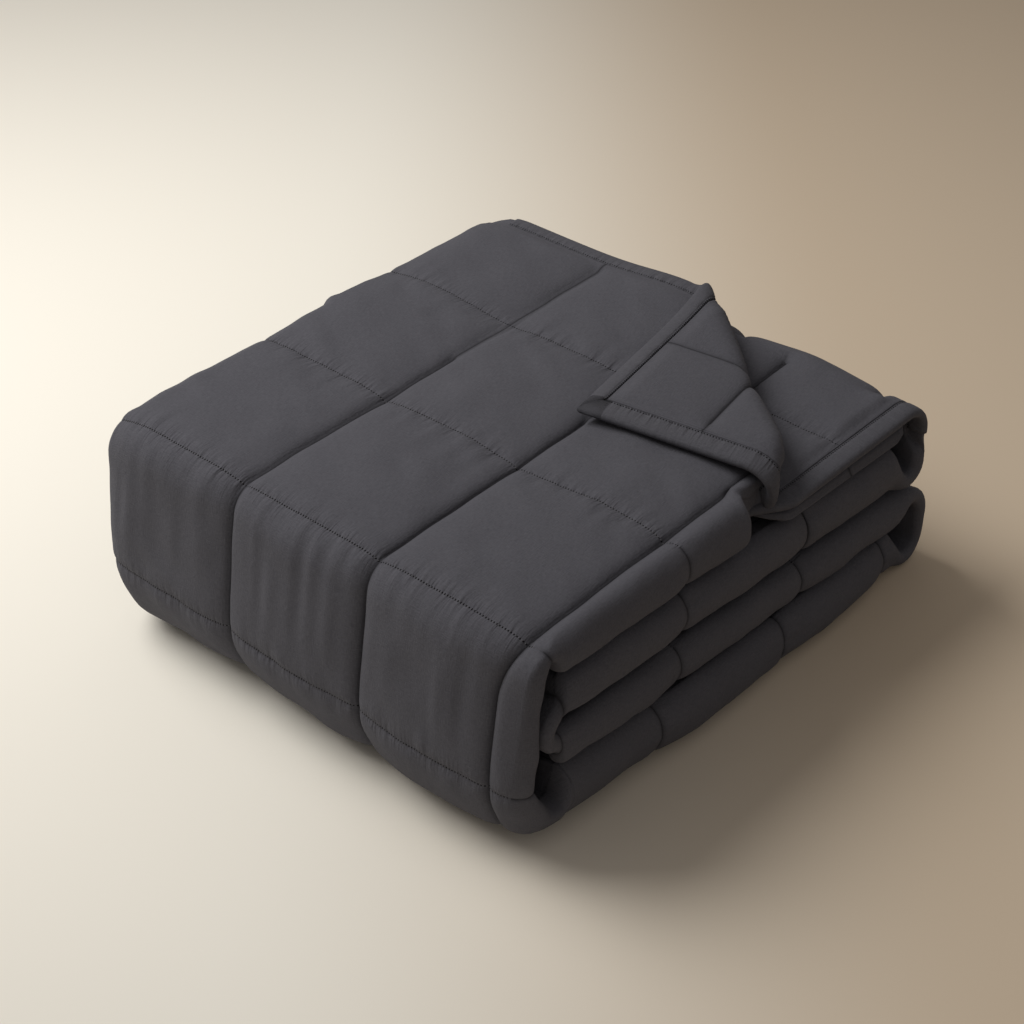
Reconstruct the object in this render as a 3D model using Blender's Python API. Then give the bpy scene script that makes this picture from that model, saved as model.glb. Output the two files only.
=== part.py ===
"""Weighted blanket, folded to a stack and lying flat, with one corner of its top turned back.

The quilted body is made the way the real one is: a long flat slab with sewn channels is cut,
its corner is turned over, and the slab is folded back and forth into passes with an outer
wrap round the front. Three binding tapes hold its open edges.

Flat cloth is described by x (across the blanket), u (along it, from the open end that lies
on top) and w (height over the fold line). Metres, +X right, +Y to the back, +Z up.
"""

import math
from bisect import bisect_right

import bmesh
import bpy
from mathutils import Matrix, Vector

# ---------------------------------------------------------------- the blanket's sizes
GROOVE_X = (0.0, 0.1108, 0.2215)
LEFT_X = -0.118
RIGHT_X = 0.240
RIGHT_FLARE = 0.031
COVER_EDGE_X = 0.2604
CORNER_ROUND = 0.024
INNER_TIP_INSET = 0.007
FRONT_INSET = 0.005
FLOOR_BULGE = 0.0045
BULGE_BLEND = 0.060
FRONT_BLEND = 0.045
GROOVE_DRIFT = 0.0095
SIDE_ROUND = 0.016
CURL_REACH = 0.030
CURL_INNER = 0.15
CURL_THIN = 0.014
CURL_THICK = 0.040

OUTER = 0.006
GROOVE_DIP = 0.0050
GROOVE_HALF = 0.0085
SEAM_DIP = 0.0034
SEAM_HALF = 0.0070
DIP_REACH = 2.5
TURN_END_DIP = 0.0035
END_THINNING = 0.45

# The fold line of the stack in the Y-Z plane: corner name, y, z and the corner's bend radius.
# It runs 6 mm inside the face that shows on the top, the front and the bottom.
CORNERS = (
    ("cover_end", 0.357, 0.1480, 0.0),
    ("front_top", -0.010, 0.1530, 0.020),
    ("front_belly", -0.0265, 0.0500, 0.045),
    ("front_bottom", -0.0085, 0.0060, 0.032),
    ("lower_loop_bottom", 0.379, 0.0060, 0.012),
    ("lower_loop_top", 0.379, 0.0610, 0.026),
    ("front_bend_bottom", 0.0035, 0.0834, 0.0065),
    ("front_bend_top", 0.0035, 0.0969, 0.0065),
    ("upper_loop_bottom", 0.365, 0.0765, 0.012),
    ("upper_loop_top", 0.365, 0.1352, 0.022),
    ("inner_dip", 0.215, 0.1335, 0.020),
    ("inner_end", 0.185, 0.1285, 0.0),
)
(COVER, FRONT, FRONT_LOW, FLOOR_PASS, LOWER_LOOP, THIRD_PASS, BEND, SECOND_PASS, UPPER_LOOP,
 INNER, INNER_TIP) = range(11)

# How far the cloth reaches to the inner side of the fold line: leg, place on it, depth.
# The place is a y on a level leg and a z on an upright one.
DEPTHS = (
    (COVER, 0.357, 0.0060),
    (COVER, 0.182, 0.0060),
    (COVER, 0.168, 0.0328),
    (COVER, 0.120, 0.0314),
    (COVER, 0.016, 0.0270),
    (COVER, 0.002, 0.0110),
    (FRONT, 0.130, 0.0105),
    (FRONT_LOW, 0.032, 0.0105),
    (FLOOR_PASS, 0.0120, 0.0180),
    (FLOOR_PASS, 0.0210, 0.0480),
    (FLOOR_PASS, 0.038, 0.0462),
    (FLOOR_PASS, 0.120, 0.0400),
    (FLOOR_PASS, 0.346, 0.0302),
    (FLOOR_PASS, 0.364, 0.0060),
    (THIRD_PASS, 0.366, 0.0060),
    (THIRD_PASS, 0.347, 0.0253),
    (THIRD_PASS, 0.120, 0.0295),
    (THIRD_PASS, 0.018, 0.0274),
    (THIRD_PASS, 0.0075, 0.0105),
    (SECOND_PASS, 0.0075, 0.0105),
    (SECOND_PASS, 0.018, 0.0285),
    (SECOND_PASS, 0.150, 0.0290),
    (SECOND_PASS, 0.333, 0.0330),
    (SECOND_PASS, 0.352, 0.0060),
    (INNER, 0.350, 0.0060),
    (INNER, 0.333, 0.0225),
    (INNER, 0.225, 0.0172),
    (INNER_TIP, 0.190, 0.0094),
)

# How far the outer face curls in at its two sides: leg, place on it, depth of the curl.
CURLS = (
    (COVER, 0.030, 0.000),
    (FRONT, 0.138, 0.006),
    (FRONT_LOW, 0.028, 0.014),
    (FLOOR_PASS, 0.010, 0.017),
    (FLOOR_PASS, 0.100, 0.005),
    (FLOOR_PASS, 0.220, 0.000),
)

# Sewn lines across the blanket: leg and place on it.
SEAMS = (
    (COVER, 0.240),
    (COVER, 0.120),
    (COVER, 0.000),
    (FRONT, 0.056),
    (FLOOR_PASS, 0.100),
    (FLOOR_PASS, 0.220),
    (FLOOR_PASS, 0.335),
    (THIRD_PASS, 0.240),
    (THIRD_PASS, 0.120),
    (THIRD_PASS, 0.012),
    (SECOND_PASS, 0.012),
    (SECOND_PASS, 0.120),
    (SECOND_PASS, 0.240),
    (INNER, 0.283),
)

# The turned corner: its fold line in the flat cloth, its bend and its own sewn lines.
TURN_FROM = (0.0625, 0.0)
TURN_TO = (0.2604, 0.1684)
TURN_RADIUS = 0.0068
TURN_CUTS = 4
TURN_LINE_FROM_SIDE = 0.093
TURN_LINE_FROM_END = 0.080
TURN_LIFT = 0.004
TURN_LIFT_REACH = 0.045

# How far the stack is pressed down at its left side, as a share of its height.
PRESS_REACH = 0.040
PRESS_SIDE = 0.028
PRESS_CORNER = 0.034
PRESS_BACK_Y = (0.180, 0.310)
PRESS_FRONT_Y = (-0.020, 0.020)

# The side over which the turned corner hangs down.
DRAPE_X = 0.2185
DRAPE_STEP = 0.0075
DRAPE_CUTS = 7
DRAPE_STRETCH = 0.0240
DRAPE_TOP = 0.014
DRAPE_FROM_U = 0.170
DRAPE_TO_U = 0.182

# The bound lip that a tape holds, measured inwards from the edge, and the tape round it.
LIP_TIP = 0.0022
LIP_ROOT = 0.0140
LIP_SHOULDER = 0.0155
LIP_HALF = 0.0022
LIP_DROOP = 0.0008
LIP_STEP_IN = 0.0004
LIP_STEP_DOWN = 0.0003
TAPE_GAP = 0.0006
TAPE_THICK = 0.0016
TAPE_WIDTH = 0.0127
TAPE_ROUND = 0.0020
TAPE_EDGE = 0.0003
TAPE_EDGE_SHARE = 0.55
TAPE_END_GAP = 0.003
TAPE_STEP = 0.020
TAPE_START_X = -0.091
TAPE_TUCK_U = 0.140
MITRE_GAP = 0.0003

# The thick cloth that rolls in below a bound lip: inset from the edge, share of the depth.
LIP_ROLL = ((0.0040, 0.65), (0.0030, 0.85))
LIP_ROLL_START = 0.0056
LIP_ROLL_DEPTH = 0.015

# How finely the flat slab is divided: across it, and along it beside and between seams.
FACE_X = (-0.092, -0.058, -0.028, -0.009, 0.0, 0.009, 0.030, 0.0554, 0.081, 0.1018, 0.1108,
          0.1198, 0.141, 0.166, 0.191, 0.2125, 0.2215)
INNER_X = (-0.085, -0.060, 0.0, 0.060, 0.1108, 0.152, 0.165, 0.178, 0.210)
LEFT_POINTS = 3
RIGHT_POINTS = 7
SEAM_STEP = 0.009
MIN_STEP = 0.0045
POINT_GAP = 0.002
LONG_STEP = 0.040
BEND_STEPS = 4
CLOSE_ROWS = 0.040
CUT_TOLERANCE = 1e-6

CLOTH_COLOUR = (0.076, 0.073, 0.081, 1.0)
TAPE_COLOUR = (0.066, 0.064, 0.071, 1.0)
CLOTH_ROUGHNESS = 0.92


# ---------------------------------------------------------------- small helpers
def smooth(low, high, value):
    """0 below low, 1 above high, and a soft step between them."""
    t = min(max((value - low) / (high - low), 0.0), 1.0)
    return t * t * (3.0 - 2.0 * t)


def mix(a, b, t):
    return a + (b - a) * t


# ---------------------------------------------------------------- the fold line
class FoldLine:
    """The line along which the flat slab is laid: straight legs joined by round corners."""

    def __init__(self, corners):
        points = [Vector((y, z)) for _, y, z, _ in corners]
        radii = [r for *_, r in corners]
        heads = [(b - a).normalized() for a, b in zip(points, points[1:])]
        cuts = [0.0]
        for before, after, radius in zip(heads, heads[1:], radii[1:]):
            cuts.append(radius * math.tan(before.angle(after) / 2))
        cuts.append(0.0)
        self.pieces = []
        self.starts = []
        self.legs = []
        self.length = 0.0
        for i, head in enumerate(heads):
            start = points[i] + head * cuts[i]
            run = (points[i + 1] - points[i]).length - cuts[i] - cuts[i + 1]
            self.legs.append((self.length, start, head))
            self.add(run, ("line", start, head))
            if i + 1 < len(heads):
                turn = head.angle_signed(heads[i + 1])
                side = -1.0 if turn > 0 else 1.0
                centre = start + head * run + side * radii[i + 1] * Vector((-head.y, head.x))
                self.add(radii[i + 1] * abs(turn), ("arc", centre, head, side, radii[i + 1]))

    def add(self, length, piece):
        self.starts.append(self.length)
        self.pieces.append(piece)
        self.length += length

    def at(self, u):
        """The point at the distance u, and the direction to the face that shows."""
        index = max(bisect_right(self.starts, u) - 1, 0)
        piece = self.pieces[index]
        run = u - self.starts[index]
        if piece[0] == "line":
            _, start, head = piece
            return start + head * run, Vector((head.y, -head.x))
        _, centre, head, side, radius = piece
        head = Matrix.Rotation(side * run / radius, 2) @ head
        return centre - side * radius * Vector((-head.y, head.x)), Vector((head.y, -head.x))

    def place(self, leg, value):
        """The distance u of a place on a leg, given by its y or, on an upright leg, its z."""
        start_u, start, head = self.legs[leg]
        axis = 0 if abs(head.x) > abs(head.y) else 1
        return start_u + (value - start[axis]) / head[axis]


FOLD = FoldLine(CORNERS)
SEAM_US = sorted(FOLD.place(leg, value) for leg, value in SEAMS)
DEPTH_ROWS = sorted((FOLD.place(leg, value), depth) for leg, value, depth in DEPTHS)
CURL_ROWS = sorted((FOLD.place(leg, value), depth) for leg, value, depth in CURLS)
THICK_FROM_U = FOLD.place(COVER, 0.187)
THICK_TO_U = FOLD.place(COVER, 0.176)
UNDER_LIP_FROM_U = FOLD.place(UPPER_LOOP, 0.095)
UNDER_LIP_TO_U = FOLD.place(UPPER_LOOP, 0.107)
INNER_LEG_U = FOLD.place(INNER, 0.345)
UNDER_END_FROM_U = FOLD.place(INNER, 0.2215)
UNDER_END_TO_U = FOLD.place(INNER, 0.2135)
FRONT_FROM_U = FOLD.place(COVER, 0.005)
FRONT_TO_U = FOLD.place(FLOOR_PASS, 0.012)
BULGE_FROM_U = FOLD.place(FLOOR_PASS, 0.070)
BULGE_TO_U = FOLD.place(FLOOR_PASS, 0.350)


def from_rows(rows, u):
    """A value that goes from row to row along the cloth, softly where rows lie close together."""
    index = bisect_right(rows, (u, 1.0))
    if index == 0:
        return rows[0][1]
    if index == len(rows):
        return rows[-1][1]
    (low, before), (high, after) = rows[index - 1], rows[index]
    if high - low < CLOSE_ROWS:
        return mix(before, after, smooth(low, high, u))
    return mix(before, after, (u - low) / (high - low))


# ---------------------------------------------------------------- sewn relief
def dip(distance, half, deep):
    """How far a sewn line pulls the face in, at a distance from it."""
    away = min(abs(distance) / (DIP_REACH * half), 1.0)
    return deep * math.exp(-((distance / half) ** 2)) * (1.0 - away**4)


def past_turn(x, u):
    """How far a flat point lies past the line on which the corner is turned over."""
    reach = math.hypot(TURN_TO[0] - TURN_FROM[0], TURN_TO[1] - TURN_FROM[1])
    over = (x - TURN_FROM[0]) * (TURN_TO[1] - TURN_FROM[1])
    back = (u - TURN_FROM[1]) * (TURN_TO[0] - TURN_FROM[0])
    return (over - back) / reach


def relief(x, u):
    """How far the quilting pulls a face in at a flat point."""
    if past_turn(x, u) > 0.0 and u < DRAPE_TO_U:
        side = dip(COVER_EDGE_X - TURN_LINE_FROM_SIDE - x, SEAM_HALF, SEAM_DIP)
        end = dip(TURN_LINE_FROM_END - u, SEAM_HALF, TURN_END_DIP)
        return max(side, end)
    grooves = max(dip(x - groove, GROOVE_HALF, GROOVE_DIP) for groove in grooves_at(u))
    seam = max(dip(u - line, SEAM_HALF, SEAM_DIP) for line in SEAM_US)
    return max(grooves, seam)


# ---------------------------------------------------------------- the flat quilted slab
def left_x(u):
    """The left side of the slab. The open end has a round corner."""
    if u >= CORNER_ROUND:
        return LEFT_X
    return LEFT_X + CORNER_ROUND - math.sqrt(CORNER_ROUND**2 - (CORNER_ROUND - u) ** 2)


def cover_lip(u):
    """1 where the right side of the cover is a bound lip, 0 where it is a round fold."""
    return 1.0 - smooth(THICK_FROM_U, THICK_TO_U, u)


def under_lip(u):
    """1 where the right side of the inner end is a bound lip."""
    return smooth(UNDER_LIP_FROM_U, UNDER_LIP_TO_U, u) * (1.0 - under_end(u))


def front_share(u):
    """1 on the front of the outer wrap, 0 on the top and under the stack."""
    onto = smooth(FRONT_FROM_U, FRONT_FROM_U + FRONT_BLEND, u)
    return onto * (1.0 - smooth(FRONT_TO_U, FRONT_TO_U + FRONT_BLEND, u))


def floor_share(u):
    """1 on the floor pass, whose side is pushed out by the weight on it."""
    onto = smooth(BULGE_FROM_U, BULGE_FROM_U + BULGE_BLEND, u)
    return onto * (1.0 - smooth(BULGE_TO_U - BULGE_BLEND, BULGE_TO_U, u))


def grooves_at(u):
    """Where the grooves run across the cloth. The last one drifts inwards on the front."""
    return GROOVE_X[:2] + (GROOVE_X[2] - GROOVE_DRIFT * front_share(u),)


def under_end(u):
    """1 on the tip of the inner end, which lies hidden under the turned corner."""
    return smooth(UNDER_END_FROM_U, UNDER_END_TO_U, u)


def right_x(u):
    """The right side of the slab: it leans out a little towards the back."""
    y = FOLD.at(u)[0].x
    side = RIGHT_X + RIGHT_FLARE * max(y, 0.0) - INNER_TIP_INSET * under_end(u)
    side += FLOOR_BULGE * floor_share(u) - FRONT_INSET * front_share(u)
    return mix(side, COVER_EDGE_X, cover_lip(u))


def faces_at(u):
    """The heights of the outer and the inner face, thinned to a lip at the open end."""
    if u < LIP_ROOT + MITRE_GAP:
        return LIP_HALF, -LIP_HALF
    end = FOLD.length - u
    soft = 1.0 - END_THINNING * (1.0 - smooth(0.0, MIN_STEP, end))
    return OUTER * soft, -from_rows(DEPTH_ROWS, u) * soft


def lip_middle(inset, droop):
    """The height of the middle of a lip, which droops towards its tip."""
    return -droop * (LIP_ROOT - inset) / (LIP_ROOT - LIP_TIP)


def under_droop(u):
    """How far the lip of the inner end droops. It is flat again in the loop."""
    return LIP_DROOP * smooth(UNDER_LIP_TO_U, INNER_LEG_U, u)


def round_side(top, bottom, count):
    """A plain folded side, as insets from the edge and heights, from top to bottom."""
    half = (top - bottom) / 2
    reach = min(half, SIDE_ROUND)
    points = []
    for k in range(1, count + 1):
        angle = math.pi / 2 - math.pi * k / (count + 1)
        points.append((reach * (1.0 - math.cos(angle)), (top + bottom) / 2 + half * math.sin(angle)))
    return points


def lip_side(top, bottom, droop):
    """A side that ends in a thin lip, over whatever cloth lies below the lip."""
    tip = lip_middle(LIP_TIP, droop)
    points = [(LIP_ROOT, LIP_HALF), (LIP_TIP, tip + LIP_HALF), (LIP_TIP, tip - LIP_HALF)]
    points.append((LIP_ROOT, -LIP_HALF))
    full = smooth(OUTER, LIP_ROLL_DEPTH, -bottom)
    plain = [(LIP_SHOULDER - k * LIP_STEP_IN, bottom + k * LIP_STEP_DOWN) for k in (3, 2, 1)]
    roll = [(LIP_ROOT, -LIP_ROLL_START)] + [(inset, depth * bottom) for inset, depth in LIP_ROLL]
    for (x0, w0), (x1, w1) in zip(plain, roll):
        points.append((mix(x0, x1, full), mix(w0, w1, full)))
    return points


def right_side(u, top, bottom):
    """The points of the right side: a round fold, or a lip where the edge is bound."""
    fold = round_side(top, bottom, RIGHT_POINTS)
    pull = seam_pull(u)
    fold = [(inset + pull, mix(w, (top + bottom) / 2, pull / SIDE_ROUND)) for inset, w in fold]
    share = max(cover_lip(u), under_lip(u))
    lip = lip_side(top, bottom, under_droop(u))
    return [(mix(a, c, share), mix(b, d, share)) for (a, b), (c, d) in zip(fold, lip)]


def seam_pull(u):
    """How far a seam pulls a folded side in."""
    return max(dip(u - line, SEAM_HALF, SEAM_DIP) for line in SEAM_US)


def curl(x, u, w, bottom):
    """How far a point near a side of the outer wrap curls in towards the stack."""
    into = max(x - (right_x(u) - CURL_REACH), LEFT_X + CURL_REACH - x, 0.0)
    height = (w - bottom) / (OUTER - bottom)
    share = mix(mix(CURL_INNER, 1.0, height), height, smooth(CURL_THIN, CURL_THICK, -bottom))
    return from_rows(CURL_ROWS, u) * share * (into / CURL_REACH) ** 2


def ring(u):
    """The points of one section across the slab, all the way round it."""
    top, bottom = faces_at(u)
    low = left_x(u)
    high = right_x(u)
    share = 0.0 if u < LIP_SHOULDER or u == FOLD.length else 1.0
    pull = share * seam_pull(u)
    points = [(low + LIP_SHOULDER, top - pull)]
    for x in FACE_X:
        x = max(x, points[-1][0] + POINT_GAP)
        points.append((x, top - share * relief(x, u)))
    fold_share = 1.0 - max(cover_lip(u), under_lip(u))
    points.append((high - LIP_SHOULDER, top - pull * fold_share))
    for inset, w in right_side(u, top, bottom):
        points.append((high - inset, w))
    points.append((high - LIP_SHOULDER, bottom))
    for x in reversed(INNER_X):
        points.append((x, bottom + share * relief(x, u)))
    points.append((low + LIP_SHOULDER, bottom))
    for inset, w in reversed(round_side(top, bottom, LEFT_POINTS)):
        points.append((low + inset + pull, w))
    return [Vector((x, u, w - curl(x, u, w, bottom))) for x, w in points]


def ring_places():
    """Where the slab is divided: at its ends and seams, in its bends, and between them."""
    first = [LIP_TIP, LIP_ROOT, LIP_SHOULDER, THICK_FROM_U, THICK_TO_U, FOLD.length]
    first += [FOLD.length - MIN_STEP, UNDER_END_FROM_U, UNDER_END_TO_U]
    first += SEAM_US + [line - SEAM_STEP for line in SEAM_US] + [line + SEAM_STEP for line in SEAM_US]
    first += [TURN_LINE_FROM_END + step for step in (-SEAM_STEP, 0.0, SEAM_STEP)]
    second = [row for row, _ in DEPTH_ROWS] + [UNDER_LIP_FROM_U, UNDER_LIP_TO_U]
    for piece, start, end in zip(FOLD.pieces, FOLD.starts, FOLD.starts[1:]):
        if piece[0] == "arc":
            second += [mix(start, end, k / BEND_STEPS) for k in range(BEND_STEPS + 1)]
    places = sorted(set(first))
    for u in second:
        if min(abs(u - place) for place in places) > MIN_STEP and u > LIP_SHOULDER:
            places.append(u)
    places.sort()
    filled = [places[0]]
    for u in places[1:]:
        parts = math.ceil((u - filled[-1]) / LONG_STEP)
        start = filled[-1]
        filled += [mix(start, u, k / parts) for k in range(1, parts + 1)]
    return filled


def closed_tube(rings):
    """A closed mesh through rings of equal length, with its two ends filled."""
    mesh = bmesh.new()
    rows = [[mesh.verts.new(point) for point in points] for points in rings]
    for row, following in zip(rows, rows[1:]):
        for i in range(len(row)):
            j = (i + 1) % len(row)
            mesh.faces.new((row[i], row[j], following[j], following[i]))
    mesh.faces.new(rows[0][::-1])
    mesh.faces.new(rows[-1])
    return mesh


# ---------------------------------------------------------------- binding tapes
def tape_section(droop):
    """The U of a tape folded round a lip, as insets from the edge and heights."""
    inner = LIP_HALF + TAPE_GAP
    outer = inner + TAPE_THICK
    outside = [(TAPE_WIDTH, outer), (TAPE_ROUND, outer), (TAPE_EDGE, TAPE_EDGE_SHARE * outer)]
    inside = [(LIP_TIP - TAPE_GAP, inner), (TAPE_WIDTH, inner)]
    loop = outside + [(x, -w) for x, w in reversed(outside)]
    loop += [(x, -w) for x, w in reversed(inside)] + inside
    return [(x, w + lip_middle(x, droop)) for x, w in loop]


def steps(start, end):
    """Evenly spaced places from start to end."""
    count = math.ceil(abs(end - start) / TAPE_STEP)
    return [mix(start, end, k / count) for k in range(count + 1)]


def flat_end_tape():
    """The tape on the open end, from its left corner to the mitre."""
    rings = []
    for x in steps(TAPE_START_X, COVER_EDGE_X - LIP_SHOULDER):
        rings.append([Vector((x, inset, w)) for inset, w in tape_section(0.0)])
    mitre = [(COVER_EDGE_X - inset - MITRE_GAP, inset, w) for inset, w in tape_section(0.0)]
    return closed_tube(rings + [[Vector(point) for point in mitre]])


def flat_side_tape():
    """The tape on the side of the turned corner, from the mitre to where it tucks in."""
    section = tape_section(0.0)
    rings = [[Vector((COVER_EDGE_X - inset, inset + MITRE_GAP, w)) for inset, w in section]]
    for u in steps(LIP_SHOULDER + TAPE_END_GAP, TAPE_TUCK_U):
        rings.append([Vector((COVER_EDGE_X - inset, u, w)) for inset, w in section])
    return closed_tube(rings)


def flat_under_tape():
    """The tape on the side of the inner end, from that end into the upper loop."""
    rings = []
    for u in ring_places():
        if UNDER_LIP_TO_U + TAPE_END_GAP < u < UNDER_END_FROM_U - MITRE_GAP:
            edge = right_x(u)
            rings.append([Vector((edge - inset, u, w)) for inset, w in tape_section(under_droop(u))])
    return closed_tube(rings)


# ---------------------------------------------------------------- folding the flat cloth
def turn_axes():
    """The directions along the line on which the corner is turned, and past it."""
    along = Vector((TURN_TO[0] - TURN_FROM[0], TURN_TO[1] - TURN_FROM[1], 0.0)).normalized()
    return along, Vector((along.y, -along.x, 0.0))


def rolled(past, w):
    """Where the roll of the turned corner brings a point: how far past the line, and how high."""
    step = math.pi / TURN_CUTS
    place = min(past / (TURN_RADIUS * step), TURN_CUTS)
    cut = min(int(place), TURN_CUTS - 1)
    arm = TURN_RADIUS - w
    before = Vector((arm * math.sin(cut * step), -arm * math.cos(cut * step)))
    after = Vector((arm * math.sin((cut + 1) * step), -arm * math.cos((cut + 1) * step)))
    point = before.lerp(after, place - cut)
    flat = max(past - math.pi * TURN_RADIUS, 0.0)
    return point.x - flat, point.y + TURN_RADIUS


def turn_corner(point):
    """Rolls what lies past the turn line over onto the top."""
    past = past_turn(point.x, point.y)
    if past > 0.0 and point.y < DRAPE_TO_U:
        moved, height = rolled(past, point.z)
        point = point + turn_axes()[1] * (moved - past)
        point.z = height
    away = (point.x - TURN_FROM[0]) ** 2 + point.y**2
    point.z += TURN_LIFT * math.exp(-away / TURN_LIFT_REACH**2)
    return point


def hang_share(flat_u):
    """1 where the cloth hangs down over the side of the stack, 0 where it doesn't."""
    return 1.0 - smooth(DRAPE_FROM_U, DRAPE_TO_U, flat_u)


def drape_side(point, share):
    """Hangs the turned corner down over the side of the stack."""
    place = (point.x - DRAPE_X) / DRAPE_STEP
    if place <= 0.0 or share == 0.0:
        return point
    cut = min(int(place), DRAPE_CUTS)
    arm = DRAPE_TOP + point.z - OUTER
    spots = []
    for station in (cut, cut + 1):
        angle = station * DRAPE_STEP / DRAPE_STRETCH
        spots.append(Vector((DRAPE_X + arm * math.sin(angle), point.y,
                             OUTER - DRAPE_TOP + arm * math.cos(angle))))
    return point.lerp(spots[0].lerp(spots[1], place - cut), share)


def lay(point):
    """Lays a point of the flat cloth on the fold line."""
    place, out = FOLD.at(point.y)
    return Vector((point.x, place.x + out.x * point.z, place.y + out.y * point.z))


def press(point):
    """Presses the stack down at its left side, most at the back corner there."""
    near = max(LEFT_X + PRESS_REACH - point.x, 0.0) / PRESS_REACH
    corner = max(smooth(*PRESS_BACK_Y, point.y), 1.0 - smooth(*PRESS_FRONT_Y, point.y))
    share = PRESS_SIDE + PRESS_CORNER * corner
    point.z *= 1.0 - share * near**2
    return point


def cut_mesh(mesh, faces, spot, normal):
    """Divides some faces of a mesh where a plane crosses them."""
    parts = faces + list({edge for face in faces for edge in face.edges})
    parts += list({vert for face in faces for vert in face.verts})
    bmesh.ops.bisect_plane(mesh, geom=parts, plane_co=spot, plane_no=normal,
                           dist=CUT_TOLERANCE)


def cut_at_turn(mesh):
    """Divides a flat mesh along the lines where the turned corner bends."""
    across = turn_axes()[1]
    start = Vector((TURN_FROM[0], TURN_FROM[1], 0.0))
    for k in range(TURN_CUTS + 1):
        near = [face for face in mesh.faces if min(v.co.y for v in face.verts) < DRAPE_TO_U]
        cut_mesh(mesh, near, start + across * (math.pi * TURN_RADIUS * k / TURN_CUTS), across)


def cut_at_drape(mesh, hang):
    """Divides a turned mesh along the lines where the turned corner hangs down."""
    for k in range(DRAPE_CUTS + 1):
        near = [face for face in mesh.faces if max(v[hang] for v in face.verts) > 0.0]
        cut_mesh(mesh, near, Vector((DRAPE_X + k * DRAPE_STEP, 0.0, 0.0)), Vector((1.0, 0.0, 0.0)))


def fold(mesh):
    """Turns the corner of a flat mesh over, hangs it down and folds the cloth to the stack."""
    cut_at_turn(mesh)
    bmesh.ops.triangulate(mesh, faces=mesh.faces)
    hang = mesh.verts.layers.float.new("hang")
    for vert in mesh.verts:
        vert[hang] = hang_share(vert.co.y)
        vert.co = turn_corner(vert.co)
    cut_at_drape(mesh, hang)
    bmesh.ops.triangulate(mesh, faces=mesh.faces)
    for vert in mesh.verts:
        vert.co = press(lay(drape_side(vert.co, vert[hang])))
    if mesh.calc_volume(signed=True) < 0.0:
        bmesh.ops.reverse_faces(mesh, faces=mesh.faces)


# ---------------------------------------------------------------- materials and objects
def cloth_material(name, colour, roughness):
    """A plain, matt woven cloth."""
    material = bpy.data.materials.new(name)
    material.use_nodes = True
    shader = material.node_tree.nodes["Principled BSDF"]
    shader.inputs["Base Color"].default_value = colour
    shader.inputs["Roughness"].default_value = roughness
    shader.inputs["Metallic"].default_value = 0.0
    return material


def folded_object(name, mesh, material):
    """Folds a flat mesh and makes it an object."""
    fold(mesh)
    data = bpy.data.meshes.new(name)
    mesh.to_mesh(data)
    mesh.free()
    data.materials.append(material)
    data.shade_smooth()
    thing = bpy.data.objects.new(name, data)
    bpy.context.collection.objects.link(thing)
    return thing


def stand_on_origin(things):
    """Puts the middle of the underside of the whole stack on the origin."""
    points = [vert.co for thing in things for vert in thing.data.vertices]
    low = [min(point[k] for point in points) for k in range(3)]
    high = [max(point[k] for point in points) for k in range(3)]
    move = Vector(((low[0] + high[0]) / 2, (low[1] + high[1]) / 2, low[2]))
    for thing in things:
        thing.location = -move


def build():
    for thing in list(bpy.data.objects):
        bpy.data.objects.remove(thing, do_unlink=True)
    cloth = cloth_material("quilt_cloth", CLOTH_COLOUR, CLOTH_ROUGHNESS)
    tape = cloth_material("binding_cloth", TAPE_COLOUR, CLOTH_ROUGHNESS)
    slab = closed_tube([ring(u) for u in ring_places()])
    things = [
        folded_object("quilt", slab, cloth),
        folded_object("binding_end", flat_end_tape(), tape),
        folded_object("binding_side", flat_side_tape(), tape),
        folded_object("binding_under", flat_under_tape(), tape),
    ]
    stand_on_origin(things)
    for thing in things:
        print(thing.name, len(thing.data.polygons))


build()
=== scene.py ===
"""The looks of the folded weighted blanket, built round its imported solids.

The skin of the quilted cloth is made as the solid is: flat sections across the cloth, sewn
lines pressed into them, one corner turned over, and the whole laid on the stack's fold line.
Flat cloth has x across, u along it from the open end on top, and w over the fold line.
"""

import math

import bmesh
import bpy
import numpy as np
from mathutils import Matrix, Vector


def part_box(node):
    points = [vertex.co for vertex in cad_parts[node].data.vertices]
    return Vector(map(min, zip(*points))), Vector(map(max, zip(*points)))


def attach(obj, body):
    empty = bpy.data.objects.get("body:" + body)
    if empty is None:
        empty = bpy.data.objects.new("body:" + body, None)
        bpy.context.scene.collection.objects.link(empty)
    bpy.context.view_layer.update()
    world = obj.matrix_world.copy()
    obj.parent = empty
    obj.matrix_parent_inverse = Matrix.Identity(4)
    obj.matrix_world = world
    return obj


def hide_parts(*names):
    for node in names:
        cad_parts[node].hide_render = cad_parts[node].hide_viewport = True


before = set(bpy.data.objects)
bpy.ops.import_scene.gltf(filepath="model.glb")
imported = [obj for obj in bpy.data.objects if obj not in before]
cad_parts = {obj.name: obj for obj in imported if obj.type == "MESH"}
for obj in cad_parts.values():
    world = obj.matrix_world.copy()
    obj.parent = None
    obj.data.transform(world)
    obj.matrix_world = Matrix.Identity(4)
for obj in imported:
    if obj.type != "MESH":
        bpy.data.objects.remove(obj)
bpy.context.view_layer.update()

# ---------------- sizes of the fold
# They follow the solids', but the lips are thinner here, and the turned corner, the inner end and
# the lower front are shaped a little closer to the photograph.

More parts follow.
